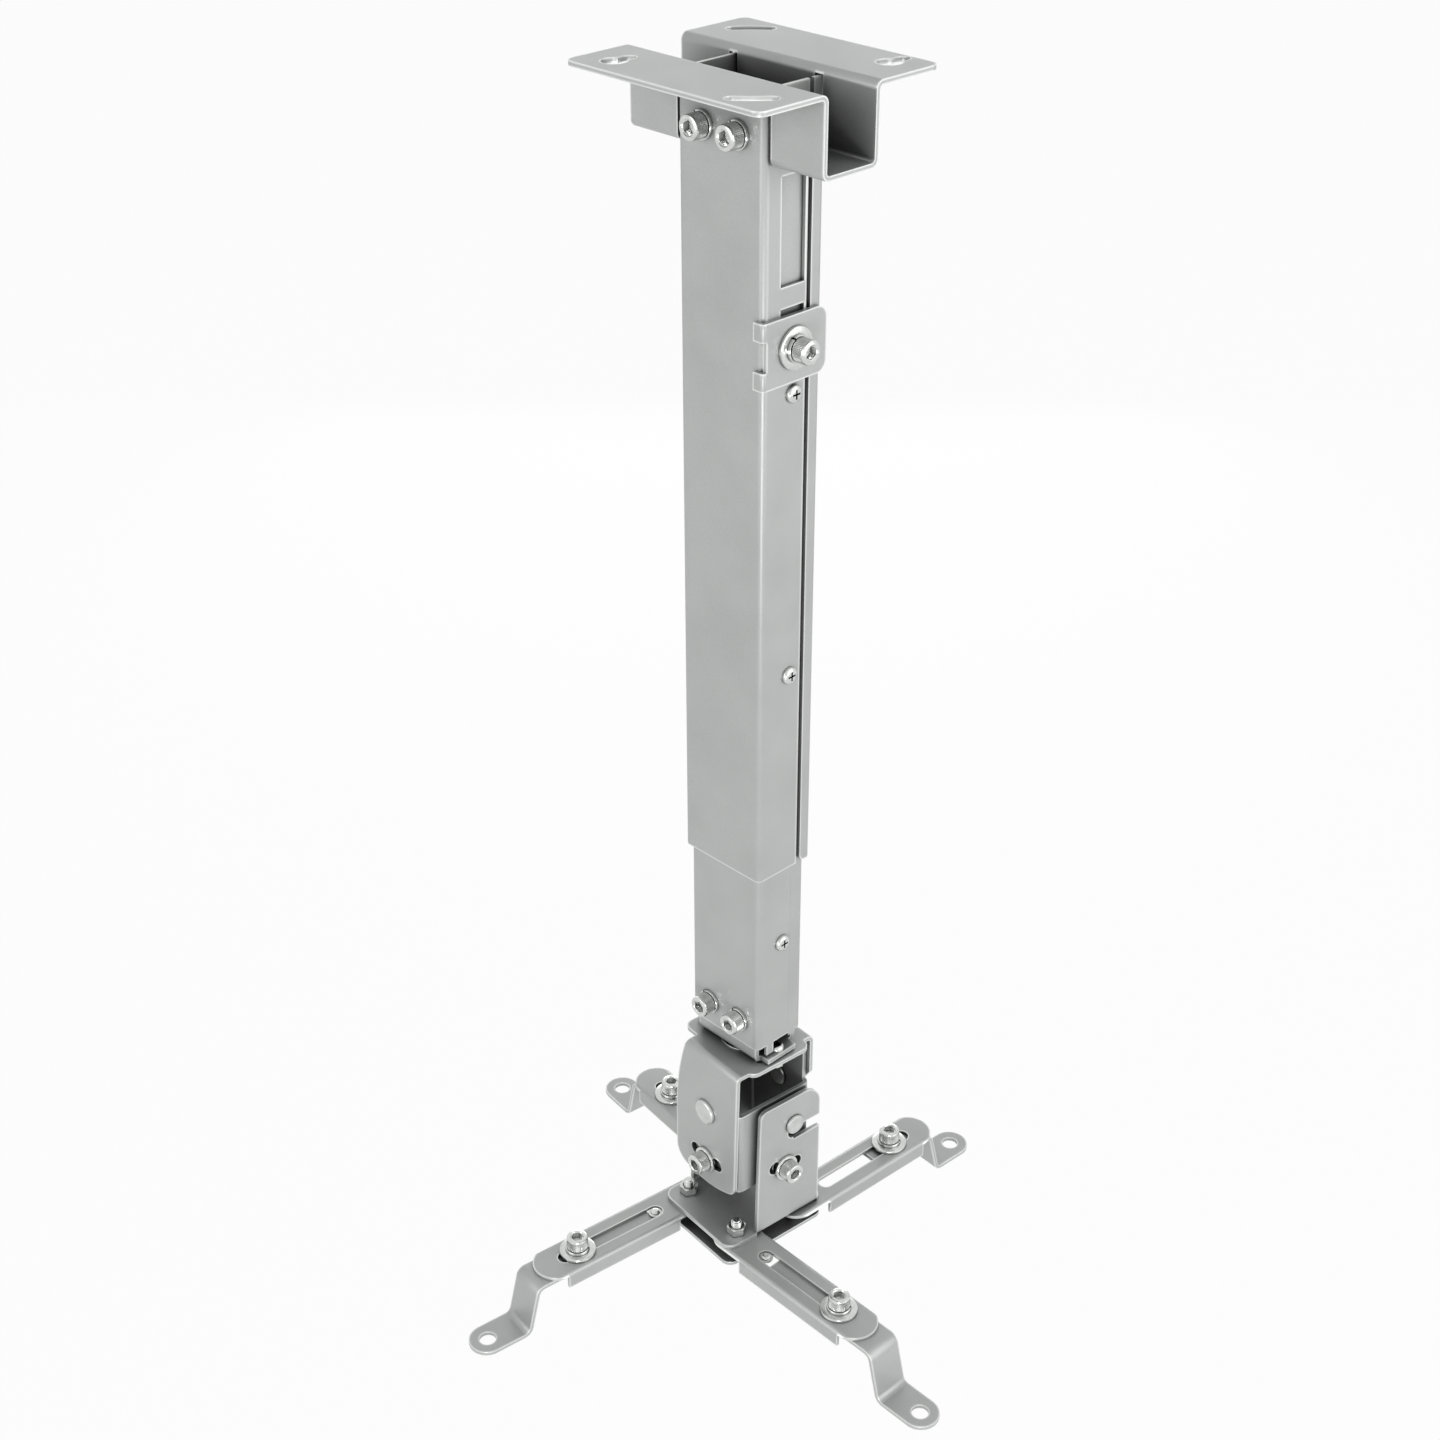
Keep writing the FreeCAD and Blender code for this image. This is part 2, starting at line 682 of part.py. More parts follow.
def make_lock_screws():
    """Two screws that lock the swivel, held by the end bracket."""
    screws = []
    low = yoke_top + yoke_sheet + lock_nut_height + lock_end
    for sign in (-1, 1):
        head = rod(lock_head_radius, V(sign * lock_screw_pitch, 0, -end_floor), Z_AXIS, lock_head_height)
        shank = rod(lock_screw_radius, V(sign * lock_screw_pitch, 0, -low), Z_AXIS, low - end_floor)
        screws.append(head.fuse(shank).removeSplitter())
    return Part.makeCompound(screws)


def make_lock_nuts():
    """The nuts of the swivel's lock screws."""
    nuts = []
    for sign in (-1, 1):
        seat = V(sign * lock_screw_pitch, 0, -yoke_top - yoke_sheet)
        nuts.append(hex_nut(seat, -Z_AXIS, lock_screw_radius, lock_nut_flats, lock_nut_height))
    return Part.makeCompound(nuts)


def front_outline():
    """The outline of the yoke's front plate, seen from the front, drawn back to the roll's middle."""
    half = yoke_width / 2
    top = -yoke_top + bend_in
    points = {
        "top_left": V(-half + yoke_shoulder, 0, top),
        "top_right": V(half, 0, top),
        "low_right": V(yoke_foot_width / 2, 0, -roll_level - yoke_low_right),
        "low": V(0, 0, -yoke_low),
        "low_left": V(-half, 0, -roll_level - yoke_low_left),
        "waist": V(-half, 0, -roll_level - yoke_waist_drop),
        "swell": V(-half + yoke_swell, 0, -roll_level + yoke_swell_rise),
    }
    wire = Part.Wire([
        Part.LineSegment(points["top_left"], points["top_right"]).toShape(),
        Part.LineSegment(points["top_right"], points["low_right"]).toShape(),
        Part.Arc(points["low_right"], points["low"], points["low_left"]).toShape(),
        Part.LineSegment(points["low_left"], points["waist"]).toShape(),
        Part.Arc(points["waist"], points["swell"], points["top_left"]).toShape(),
    ])
    prism = Part.Face(wire).extrude(V(0, -yoke_depth, 0))
    for corner, radius in (("low_left", yoke_corner_left), ("low_right", yoke_corner_right)):
        edges = []
        for edge in prism.Edges:
            middle = edge.CenterOfMass
            if abs(middle.x - points[corner].x) < 0.01 and abs(middle.z - points[corner].z) < 0.01:
                edges.append(edge)
        prism = prism.makeFillet(radius, edges)
    return prism


def back_outline():
    """The outline of the yoke's back plate: a neck and an end that is round about the roll axis."""
    top = -yoke_top + bend_in
    corners = []
    for sign in (-1, 1):
        side = [
            V(sign * back_end_radius, 0, -roll_level),
            V(sign * back_end_radius, 0, -roll_level + back_end_rise),
            V(sign * back_neck_half, 0, -roll_level + back_neck_rise),
            V(sign * back_neck_half, 0, top),
        ]
        corners += side if sign < 0 else side[::-1]
    neck = Part.Face(Part.makePolygon(corners + corners[:1])).extrude(V(0, yoke_depth, 0))
    return neck.fuse(rod(back_end_radius, V(0, 0, -roll_level), Y_AXIS, yoke_depth))


def make_yoke():
    """The inverted U that swivels under the column and holds the roll link between its plates."""
    y = yoke_half_y - yoke_sheet / 2
    top = -yoke_top - yoke_sheet / 2
    path = [(-y, -yoke_low), (-y, top), (y, top), (y, -yoke_low)]
    sheet = folded_sheet(path, yoke_sheet, 2 * lobe_half, bend_in)
    shape = placed(sheet, Y_AXIS, Z_AXIS, V(-lobe_half, 0, 0))
    lobes = rounded_plate(-lobe_half, lobe_half, -lobe_front, lobe_back,
                          -yoke_top - yoke_sheet, -yoke_top, lobe_corner)
    shape = shape.common(front_outline().fuse([back_outline(), lobes])).removeSplitter()
    axis_start = V(0, -yoke_depth, -roll_level)
    shape = shape.cut(rod(rivet_radius, axis_start, Y_AXIS, 2 * yoke_depth))
    slot = arc_slot(axis_start, V(0, 0, -roll_bolt_arm), column_bolt_radius + flat_gap,
                    roll_reach + slot_spare, Y_AXIS, yoke_depth)
    shape = shape.cut(slot)
    low = V(0, 0, -yoke_top - 2 * yoke_sheet)
    shape = shape.cut(rod(swivel_radius + pin_fit, low, Z_AXIS, 4 * yoke_sheet))
    for sign in (-1, 1):
        middle = V(sign * lock_screw_pitch, 0, 0)
        shape = shape.cut(arc_slot(low, middle, lock_screw_radius + flat_gap,
                                   swivel_reach + lock_spare, Z_AXIS, 4 * yoke_sheet))
    return turned_head(shape)


def make_roll_rivets():
    """The two flat-headed rivets that the roll link turns on."""
    rivets = []
    for sign in (-1, 1):
        out = V(0, sign, 0)
        seat = V(0, sign * yoke_half_y, -roll_level)
        head = rod(rivet_head_radius, seat, out, rivet_head_height)
        rim = [e for e in head.Edges if e.Closed and abs(e.CenterOfMass.y) > yoke_half_y + rivet_chamfer]
        head = head.makeChamfer(rivet_chamfer, rim[:1])
        inner = link_half_y - link_sheet - rivet_tail_gap
        shank = rod(rivet_radius, V(0, sign * inner, -roll_level), out, yoke_half_y - inner)
        tail = rod(rivet_radius + rivet_tail_proud, V(0, sign * inner, -roll_level), -out, rivet_tail_height)
        rivets.append(head.fuse([shank, tail]).removeSplitter())
    return turned_head(Part.makeCompound(rivets))


def make_roll_link():
    """The folded ring between the yoke's plates and the pitch bracket's walls."""
    x = link_half_x - link_sheet / 2
    y = link_half_y - link_sheet / 2
    seam = link_seam / 2
    path = [(-x, seam), (-x, y), (x, y), (x, -y), (-x, -y), (-x, -seam)]
    low = -roll_level - link_low
    sheet = folded_sheet(path, link_sheet, link_round + link_low, bend_in)
    shape = placed(sheet, X_AXIS, Y_AXIS, V(0, 0, low))
    side_top = -roll_level + link_side_high
    flank = link_half_y - link_sheet - bend_in
    ears = link_half_x - link_sheet - bend_in
    upper = link_round + link_low
    shape = shape.cut(box(-yoke_depth, yoke_depth, -flank, flank, side_top, side_top + upper))
    for sign in (-1, 1):
        edges = sorted((sign * ears, sign * yoke_depth))
        shape = shape.cut(box(edges[0], edges[1], -yoke_depth, yoke_depth, side_top, side_top + upper))
    axis_start = V(0, -yoke_depth, -roll_level)
    keep = rod(link_round, axis_start, Y_AXIS, 2 * yoke_depth)
    keep = keep.fuse(box(-yoke_depth, yoke_depth, -yoke_depth, yoke_depth, low - 1, side_top))
    shape = shape.common(keep).removeSplitter()
    shape = shape.cut(rod(rivet_radius + pin_fit, axis_start, Y_AXIS, 2 * yoke_depth))
    clamp_start = V(0, -yoke_depth, -roll_level - roll_bolt_arm)
    shape = shape.cut(rod(column_bolt_radius + bolt_fit, clamp_start, Y_AXIS, yoke_depth))
    shape = shape.cut(rod(pin_radius, V(-yoke_depth, pitch_y, -pitch_level), X_AXIS, 2 * yoke_depth))
    shape = shape.cut(rod(column_bolt_radius + bolt_fit, V(-yoke_depth, pitch_bolt_y, -pitch_bolt_level),
                          X_AXIS, 2 * yoke_depth))
    return turned_head(shape)


def make_roll_bolts():
    """The clamp bolt of the roll, in the front plate's slot, carried by the roll link."""
    seat = V(0, -yoke_half_y - washer_sheet, -roll_level - roll_bolt_arm)
    shank = yoke_half_y + washer_sheet - (link_half_y - link_sheet) + nut_height + short_end
    return turned_head(socket_bolt(seat, -Y_AXIS, shank, column_bolt_radius))


def make_roll_washers():
    """The washer of the roll's clamp bolt."""
    seat = V(0, -yoke_half_y, -roll_level - roll_bolt_arm)
    return turned_head(washer(seat, -Y_AXIS, column_bolt_radius, washer_radius, washer_sheet))


def make_roll_nuts():
    """The nut of the roll's clamp bolt, inside the link."""
    seat = V(0, -link_half_y + link_sheet, -roll_level - roll_bolt_arm)
    return turned_head(hex_nut(seat, Y_AXIS, column_bolt_radius, nut_flats, nut_height))


def make_pitch_pins():
    """The headed stub pins on the link's side walls that the pitch bracket hooks onto."""
    pins = []
    for sign in (-1, 1):
        out = V(sign, 0, 0)
        inner = link_half_x - link_sheet
        stem = rod(pin_radius, V(sign * inner, pitch_y, -pitch_level), out, wall_outer + flat_gap - inner)
        collar = rod(pin_collar_radius, V(sign * link_half_x, pitch_y, -pitch_level), out,
                     wall_inner - link_half_x - flat_gap)
        head = rod(pin_head_radius, V(sign * (wall_outer + flat_gap), pitch_y, -pitch_level), out,
                   pin_head_height)
        face = wall_outer + flat_gap + pin_head_height / 2
        rim = [e for e in head.Edges if e.Closed and abs(e.CenterOfMass.x) > face]
        head = head.makeChamfer(pin_chamfer, rim[:1])
        pins.append(stem.fuse([collar, head]).removeSplitter())
    return turned_head(Part.makeCompound(pins))


def make_pitch_bolts():
    """The clamp bolts of the pitch, carried by the roll link."""
    bolts = []
    for sign in (-1, 1):
        seat = V(sign * (wall_outer + washer_sheet), pitch_bolt_y, -pitch_bolt_level)
        shank = wall_outer + washer_sheet - (link_half_x - link_sheet) + nut_height + short_end
        bolts.append(socket_bolt(seat, V(sign, 0, 0), shank, column_bolt_radius))
    return turned_head(Part.makeCompound(bolts))


def make_pitch_washers():
    """Washers under the heads of the pitch's clamp bolts, and their rings between link and wall."""
    rings = []
    for sign in (-1, 1):
        out = V(sign, 0, 0)
        seat = V(sign * wall_outer, pitch_bolt_y, -pitch_bolt_level)
        rings.append(washer(seat, out, column_bolt_radius, washer_radius, washer_sheet))
        seat = V(sign * link_half_x, pitch_bolt_y, -pitch_bolt_level)
        rings.append(washer(seat, out, column_bolt_radius, spring_washer_radius, wall_inner - link_half_x))
    return turned_head(Part.makeCompound(rings))


def make_pitch_nuts():
    """Nuts of the pitch's clamp bolts, inside the link."""
    nuts = []
    for sign in (-1, 1):
        seat = V(sign * (link_half_x - link_sheet), pitch_bolt_y, -pitch_bolt_level)
        nuts.append(hex_nut(seat, V(-sign, 0, 0), column_bolt_radius, nut_flats, nut_height))
    return turned_head(Part.makeCompound(nuts))


def wall_outline():
    """The outline of the pitch bracket's walls, seen from the side, as a prism along X."""
    low = -base_level - 2 * base_sheet
    top = -base_level + wall_high
    corners = [
        V(0, wall_front, low),
        V(0, wall_front, -base_level),
        V(0, wall_front + wall_lean, top),
        V(0, wall_back, top),
        V(0, wall_back, low),
        V(0, wall_front, low),
    ]
    prism = Part.Face(Part.makePolygon(corners)).extrude(V(2 * base_width, 0, 0))
    prism.translate(V(-base_width, 0, 0))
    for place, radius in ((wall_front + wall_lean, wall_front_corner), (wall_back, wall_back_corner)):
        edges = []
        for edge in prism.Edges:
            middle = edge.CenterOfMass
            if abs(middle.y - place) < 0.01 and abs(middle.z - top) < 0.01 and abs(middle.x) < 0.01:
                edges.append(edge)
        prism = prism.makeFillet(radius, edges)
    return prism


def make_pitch_bracket():
    """The U with hooked walls whose plate carries the four arms."""
    x = wall_outer - base_sheet / 2
    low = -base_level - base_sheet / 2
    top = -base_level + wall_high
    path = [(-x, top), (-x, low), (x, low), (x, top)]
    sheet = folded_sheet(path, base_sheet, base_depth, bend_in)
    shape = placed(sheet, X_AXIS, Z_AXIS, V(0, base_shift + base_depth / 2, 0))
    plate = rounded_plate(-wall_outer, wall_outer, base_shift - base_depth / 2, base_shift + base_depth / 2,
                          -base_level - base_sheet, -base_level, base_corner)
    walls = shape.common(wall_outline())
    keep = box(-wall_outer - 1, wall_outer + 1, wall_front, wall_back, -base_level - base_sheet - 1,
               -base_level + wall_high + 1)
    ledge = plate.cut(keep)
    shape = walls.fuse(ledge).removeSplitter()
    pin_start = V(-base_width, pitch_y, -pitch_level)
    long = 2 * base_width
    radius = pin_radius + pin_fit
    shape = shape.cut(round_slot(pin_start, pin_start - V(0, 0, hook_drop), radius, X_AXIS, long))
    entry_top = -pitch_level - hook_entry_drop + hook_entry / 2
    shape = shape.cut(box(-base_width, base_width, pitch_y, wall_back + base_sheet,
                          entry_top - hook_entry, entry_top))
    slot = arc_slot(pin_start, V(0, -pitch_bolt_ahead, -pitch_bolt_below), column_bolt_radius + flat_gap,
                    pitch_reach + slot_spare, X_AXIS, long)
    shape = shape.cut(slot)
    for hole in corner_places():
        shape = shape.cut(rod(corner_radius + bolt_fit, hole + V(0, 0, -base_level - base_sheet - 1),
                              Z_AXIS, base_sheet + 2))
    return turned_head(shape)


def corner_places():
    """Where the four arms turn, in the head's own directions."""
    places = []
    for name, side_x, side_y, turn, bolt, long_foot in arm_rows:
        depth = corner_back if side_y > 0 else -corner_front
        places.append(V(side_x * corner_x, depth, 0))
    return places


def make_lower_plate():
    """The flat plate under the arms."""
    top = -arm_low
    plate = rounded_plate(-wall_outer, wall_outer, base_shift - base_depth / 2, base_shift + base_depth / 2,
                          top - base_sheet, top, lower_corner)
    for hole in corner_places():
        plate = plate.cut(rod(corner_radius + bolt_fit, hole + V(0, 0, top - base_sheet - 1),
                              Z_AXIS, base_sheet + 2))
    return turned_head(plate)


def make_corner_bolts():
    """The bolts that the arms turn on, heads below."""
    bolts = []
    seat_z = -arm_low - base_sheet
    top_z = -base_level + corner_nut_height + corner_end
    for hole in corner_places():
        head = hexagon(corner_flats, hole + V(0, 0, seat_z), -Z_AXIS, corner_head_height, V(1, 0, 0))
        shank = rod(corner_radius, hole + V(0, 0, seat_z), Z_AXIS, top_z - seat_z)
        bolts.append(head.fuse(shank).removeSplitter())
    return turned_head(Part.makeCompound(bolts))


def make_corner_nuts():
    """The nuts on top of the pitch bracket's plate."""
    nuts = []
    for hole in corner_places():
        seat = hole + V(0, 0, -base_level)
        nuts.append(hex_nut(seat, Z_AXIS, corner_radius, corner_flats, corner_nut_height))
    return turned_head(Part.makeCompound(nuts))


def make_corner_spacers():
    """Sleeves inside the arms that hold the two plates apart."""
    sleeves = []
    bore = corner_radius + bolt_fit
    height = arm_depth - arm_sheet - spacer_gap
    for hole in corner_places():
        seat = hole + V(0, 0, -arm_low)
        sleeves.append(washer(seat, Z_AXIS, bore, spacer_radius, height))
    return turned_head(Part.makeCompound(sleeves))


def arm_frame(row, shape):
    """A piece drawn along +X from an arm's pivot, moved to where that arm stands."""
    name, side_x, side_y, turn, bolt, long_foot = row
    depth = corner_back if side_y > 0 else -corner_front
    copy = shape.copy()
    copy.rotate(ORIGIN, Z_AXIS, turn)
    copy.translate(V(side_x * corner_x, depth, 0))
    return turned_head(copy)


def make_arm(row):
    """One arm: an inverted channel with a long slot and a round outer end on its top face."""
    half = arm_width / 2
    y = half - arm_sheet / 2
    top = -arm_top - arm_sheet / 2
    path = [(-y, -arm_low), (-y, top), (y, top), (y, -arm_low)]
    full = arm_length + half
    sheet = folded_sheet(path, arm_sheet, full + half, arm_bend)
    shape = placed(sheet, Y_AXIS, Z_AXIS, V(-half, 0, 0))
    outline = round_slot(V(0, 0, -arm_low - 1), V(arm_length, 0, -arm_low - 1), half, Z_AXIS, arm_depth + 2)
    shape = shape.common(outline)
    shape = shape.cut(box(-half - 1, arm_flange_start, -half - 1, half + 1,
                          -arm_low - 1, -arm_top - arm_sheet))
    shape = shape.cut(box(arm_length, full + 1, -half - 1, half + 1,
                          -arm_low - 1, -arm_top - arm_sheet))
    start = V(arm_slot_start, 0, -arm_low - 1)
    stop = V(arm_slot_end, 0, -arm_low - 1)
    shape = shape.cut(round_slot(start, stop, arm_slot_width / 2, Z_AXIS, arm_depth + 2))
    shape = shape.cut(rod(corner_radius + pin_fit, V(0, 0, -arm_low - 1), Z_AXIS, arm_depth + 2))
    return arm_frame(row, shape)


def bolt_place(row):
    """How far a foot's bolt stands from its arm's pivot."""
    return arm_slot_end - row[4]


def foot_sizes(row):
    """The tail behind the bolt, the run to the first fold and the pad's distance of a foot."""
    long_foot = row[5]
    tail = long_tail if long_foot else short_tail
    run = long_run if long_foot else short_run
    return tail, run, run + foot_lean + pad_run


def make_foot(row):
    """One foot: a strip that slides in the arm, folds down and out, and ends in a round pad."""
    bolt = bolt_place(row)
    tail, run, reach = foot_sizes(row)
    mid = strip_top + foot_sheet / 2
    low = pad_level + foot_sheet / 2
    path = [
        (bolt - tail, -mid),
        (bolt + run, -mid),
        (bolt + run + foot_lean, -low),
        (bolt + reach + foot_width / 2, -low),
    ]
    sheet = folded_sheet(path, foot_sheet, foot_width, foot_bend)
    shape = placed(sheet, X_AXIS, Z_AXIS, V(0, foot_width / 2, 0))
    tip = bolt + reach
    blank = round_slot(V(bolt - tail + foot_width / 2, 0, -low - foot_clear), V(tip, 0, -low - foot_clear),
                       foot_width / 2, Z_AXIS, low - mid + 2 * foot_clear)
    square = box(bolt - tail, bolt, -foot_width / 2, foot_width / 2, -low - foot_clear, -mid + foot_clear)
    shape = shape.common(blank.fuse(square))
    shape = shape.cut(rod(pad_hole_radius, V(tip, 0, -low - drill_clear), Z_AXIS, 2 * drill_clear))
    bore = column_bolt_radius + bolt_fit
    shape = shape.cut(rod(bore, V(bolt, 0, -mid - drill_clear), Z_AXIS, 2 * drill_clear))
    return arm_frame(row, shape)


def make_foot_bolt(row):
    """The bolt that clamps a foot in its arm's slot."""
    seat = V(bolt_place(row), 0, -arm_top + washer_sheet + spring_washer_height)
    shank = washer_sheet + spring_washer_height + arm_sheet + foot_sheet + nut_height + short_end
    return arm_frame(row, socket_bolt(seat, Z_AXIS, shank, column_bolt_radius))


def make_foot_washers(row):
    """The large flat washer and the spring washer of a foot's bolt."""
    seat = V(bolt_place(row), 0, -arm_top)
    flat = washer(seat, Z_AXIS, column_bolt_radius, big_washer_radius, washer_sheet)
    spring = washer(seat + Z_AXIS * washer_sheet, Z_AXIS, column_bolt_radius,
                    spring_washer_radius, spring_washer_height)
    return arm_frame(row, Part.makeCompound([flat, spring]))


def make_foot_nut(row):
    """The nut under a foot's strip."""
    seat = V(bolt_place(row), 0, -strip_top - foot_sheet)
    return arm_frame(row, hex_nut(seat, -Z_AXIS, column_bolt_radius, nut_flats, nut_height))


def all_nodes():
    """Every piece by its node's name."""
    low_front = inner_half_y
    nodes = {
        "ceiling_bracket": make_ceiling_bracket(),
        "outer_tube": make_outer_tube(),
        "top_bolts": make_column_bolts(tube_half_y + spring_washer_height, tube_half_y, top_bolt_drop),
        "top_washers": make_column_washers(tube_half_y, top_bolt_drop),
        "top_nuts": make_column_nuts(tube_half_y, top_bolt_drop),
        "clamp_plate": make_clamp_plate(),
        "clamp_bolt": make_clamp_bolt(),
        "clamp_washers": make_clamp_washers(),
        "outer_screws": make_outer_screws(),
        "inner_tube": make_inner_tube(),
        "inner_screw": make_inner_screw(),
        "end_bracket": make_end_bracket(),
        "end_bolts": make_column_bolts(low_front + spring_washer_height, low_front,
                                       inner_bottom - bottom_bolt_rise),
        "end_washers": make_column_washers(low_front, inner_bottom - bottom_bolt_rise),
        "end_nuts": make_column_nuts(low_front, inner_bottom - bottom_bolt_rise),
        "swivel_bolt": make_swivel_bolt(),
        "swivel_washer": make_swivel_washer(),
        "swivel_nut": make_swivel_nut(),
        "lock_screws": make_lock_screws(),
        "lock_nuts": make_lock_nuts(),
        "yoke": make_yoke(),
        "roll_rivets": make_roll_rivets(),
        "roll_link": make_roll_link(),
        "roll_bolts": make_roll_bolts(),
        "roll_washers": make_roll_washers(),
        "roll_nuts": make_roll_nuts(),
        "pitch_pins": make_pitch_pins(),
        "pitch_bolts": make_pitch_bolts(),
        "pitch_washers": make_pitch_washers(),
        "pitch_nuts": make_pitch_nuts(),
        "pitch_bracket": make_pitch_bracket(),
        "lower_plate": make_lower_plate(),
        "corner_bolts": make_corner_bolts(),
        "corner_nuts": make_corner_nuts(),
        "corner_spacers": make_corner_spacers(),
    }
    for row in arm_rows:
        nodes["arm_" + row[0]] = make_arm(row)
        nodes["foot_" + row[0]] = make_foot(row)
        nodes["foot_bolt_" + row[0]] = make_foot_bolt(row)
        nodes["foot_washers_" + row[0]] = make_foot_washers(row)
        nodes["foot_nut_" + row[0]] = make_foot_nut(row)
    return nodes


os.makedirs("parts", exist_ok=True)
for node, solid in all_nodes().items():
    solid.exportStep("parts/" + node + ".step")
    print(node, len(solid.Solids), solid.isValid(), round(solid.Volume, 1))
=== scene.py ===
import json
import logging
import math
from dataclasses import dataclass, field
from enum import Enum
from typing import Iterable, Protocol, Sequence, Union

import bmesh
import bpy
from mathutils import Matrix, Vector


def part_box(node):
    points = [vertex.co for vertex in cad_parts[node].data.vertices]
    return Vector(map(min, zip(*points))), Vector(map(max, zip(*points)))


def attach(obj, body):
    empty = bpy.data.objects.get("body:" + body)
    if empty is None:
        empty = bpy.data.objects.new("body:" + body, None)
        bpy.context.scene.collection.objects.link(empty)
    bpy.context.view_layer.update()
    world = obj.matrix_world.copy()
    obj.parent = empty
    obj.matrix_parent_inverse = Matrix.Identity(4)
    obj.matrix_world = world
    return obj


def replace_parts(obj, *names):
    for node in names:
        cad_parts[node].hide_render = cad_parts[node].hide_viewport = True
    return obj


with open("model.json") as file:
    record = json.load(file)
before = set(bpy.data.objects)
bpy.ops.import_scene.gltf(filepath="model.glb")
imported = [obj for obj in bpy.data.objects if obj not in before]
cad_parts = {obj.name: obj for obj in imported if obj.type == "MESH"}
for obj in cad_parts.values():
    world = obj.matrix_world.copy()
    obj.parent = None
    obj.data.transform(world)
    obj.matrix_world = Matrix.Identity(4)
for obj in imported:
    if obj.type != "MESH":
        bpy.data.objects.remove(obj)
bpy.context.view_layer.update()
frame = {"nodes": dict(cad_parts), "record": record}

MM = 0.001
LOG = logging.getLogger("ceiling_mount")

PHOTO_PIXELS = 1440
SENSOR_MM = 36.0
FULL_TURN = 2.0 * math.pi
CHAMFER_SLOPE = math.tan(math.radians(30.0))
MERGE = 0.002 * MM
NEAR_AXIS = 1e-6
UPRIGHT = 0.5
AO_SAMPLES = 8
RELIEF = 0.12
WHITE = (1.0, 1.0, 1.0, 1.0)
UP = Vector((0.0, 0.0, 1.0))
FRONT = Vector((0.0, -1.0, 0.0))
BACK = Vector((0.0, 1.0, 0.0))
RIGHT = Vector((1.0, 0.0, 0.0))

# Readings of an ambient occlusion node
BROAD_FACE = 0.90
CUT_EDGE = 0.68
CLOSED_IN = 0.15
IN_THE_OPEN = 0.70

BMesh = bmesh.types.BMesh
Layer = bmesh.types.BMLayerItem
Geom = Sequence[Union[bmesh.types.BMVert, bmesh.types.BMEdge]]
Material = bpy.types.Material
Node = bpy.types.Node
Socket = bpy.types.NodeSocket
Tree = bpy.types.NodeTree
Colour = tuple[float, float, float]
Feed = Union[Socket, float, Sequence[float]]


class Slot(Enum):
    """The record's material slots."""

    PAINT = "silver_paint"
    ZINC = "zinc_steel"
    RIVET = "rivet_steel"


class Form(Enum):
    """What a ring of a turned piece looks like from above."""

    ROUND = "round"
    HEX = "hex"
    CROSS = "cross"
    KNURL = "knurl"


@dataclass(frozen=True)
class Ring:
    """One ring of a turned piece, in millimetres.

    For a hexagon the radius is half the width across its flats. The lift raises a hexagon's
    corners with a chamfer's cone, and the depth is how deep a knurl or how wide a cross is.
    """

    radius: float
    height: float
    form: Form = Form.ROUND
    depth: float = 0.0
    lift: float = 0.0


# Finishes


@dataclass(frozen=True)
class PaintFinish:
    """Satin silver paint on folded steel, with fine flake, faint orange peel, painted edge highlights and
    painted recess shade.
    """

    name: str = "silver_paint"
    colour: Colour = (0.450, 0.462, 0.455)
    edge_highlight_colour: Colour = (0.93, 0.94, 0.93)
    metallic: float = 0.45
    edge_metallic: float = 0.95
    roughness: float = 0.42
    smoother: float = 0.03
    rougher: float = 0.05
    flake_scale: float = 5200.0
    flake_contrast: float = 0.08
    flake_span: tuple[float, float] = (0.35, 0.65)
    peel_scale: float = 900.0
    cloud_scale: float = 42.0
    cloud_contrast: float = 0.04
    edge_depth: float = 1.1 * MM
    edge_highlight_share: float = 0.60
    recess_reach: float = 45.0 * MM
    recess_shade: float = 0.10
    peel_height: float = 0.06 * MM

    def build(self) -> Material:
        """Makes the material.

        Returns:
            The node material that the painted pieces share.
        """
        material, tree, shader = new_material(self.name)
        coords = tree.nodes.new("ShaderNodeTexCoord")
        flake = noise(tree, coords, self.flake_scale, detail=2.0)
        cloud = noise(tree, coords, self.cloud_scale, detail=3.0)
        dark = scaled(self.colour, 1.0 - self.cloud_contrast)
        light = scaled(self.colour, 1.0 + self.cloud_contrast)
        tint = ramp(tree, cloud, dark, light)
        dull = grey(1.0 - self.flake_contrast)
        bright = grey(1.0 + self.flake_contrast)
        sparkle = ramp(tree, flake, dull, bright, *self.flake_span)
        speckled = mixed(tree, "MULTIPLY", 1.0, tint, sparkle)
        # Cut edges: a near-white painted highlight in the colour, and more metal
        edges = cut_edge_highlight(tree, self.edge_depth, self.edge_highlight_share)
        edge_highlighted = mixed(tree, "MIX", edges, speckled, (*self.edge_highlight_colour, 1.0))
        # Painted shade: the colour is darkened in closed-in places
        shaded = mixed(tree, "MULTIPLY", 1.0, edge_highlighted, painted_recess_shade(tree, self.recess_reach, self.recess_shade))
        tree.links.new(shaded, shader.inputs["Base Color"])
        bare = spread(tree, edges, 0.0, 1.0, self.metallic, self.edge_metallic)
        tree.links.new(bare, shader.inputs["Metallic"])
        gloss = ramp(tree, cloud, grey(self.roughness - self.smoother), grey(self.roughness + self.rougher))
        tree.links.new(gloss, shader.inputs["Roughness"])
        bumped(tree, shader, noise(tree, coords, self.peel_scale, detail=2.0), self.peel_height)
        return material


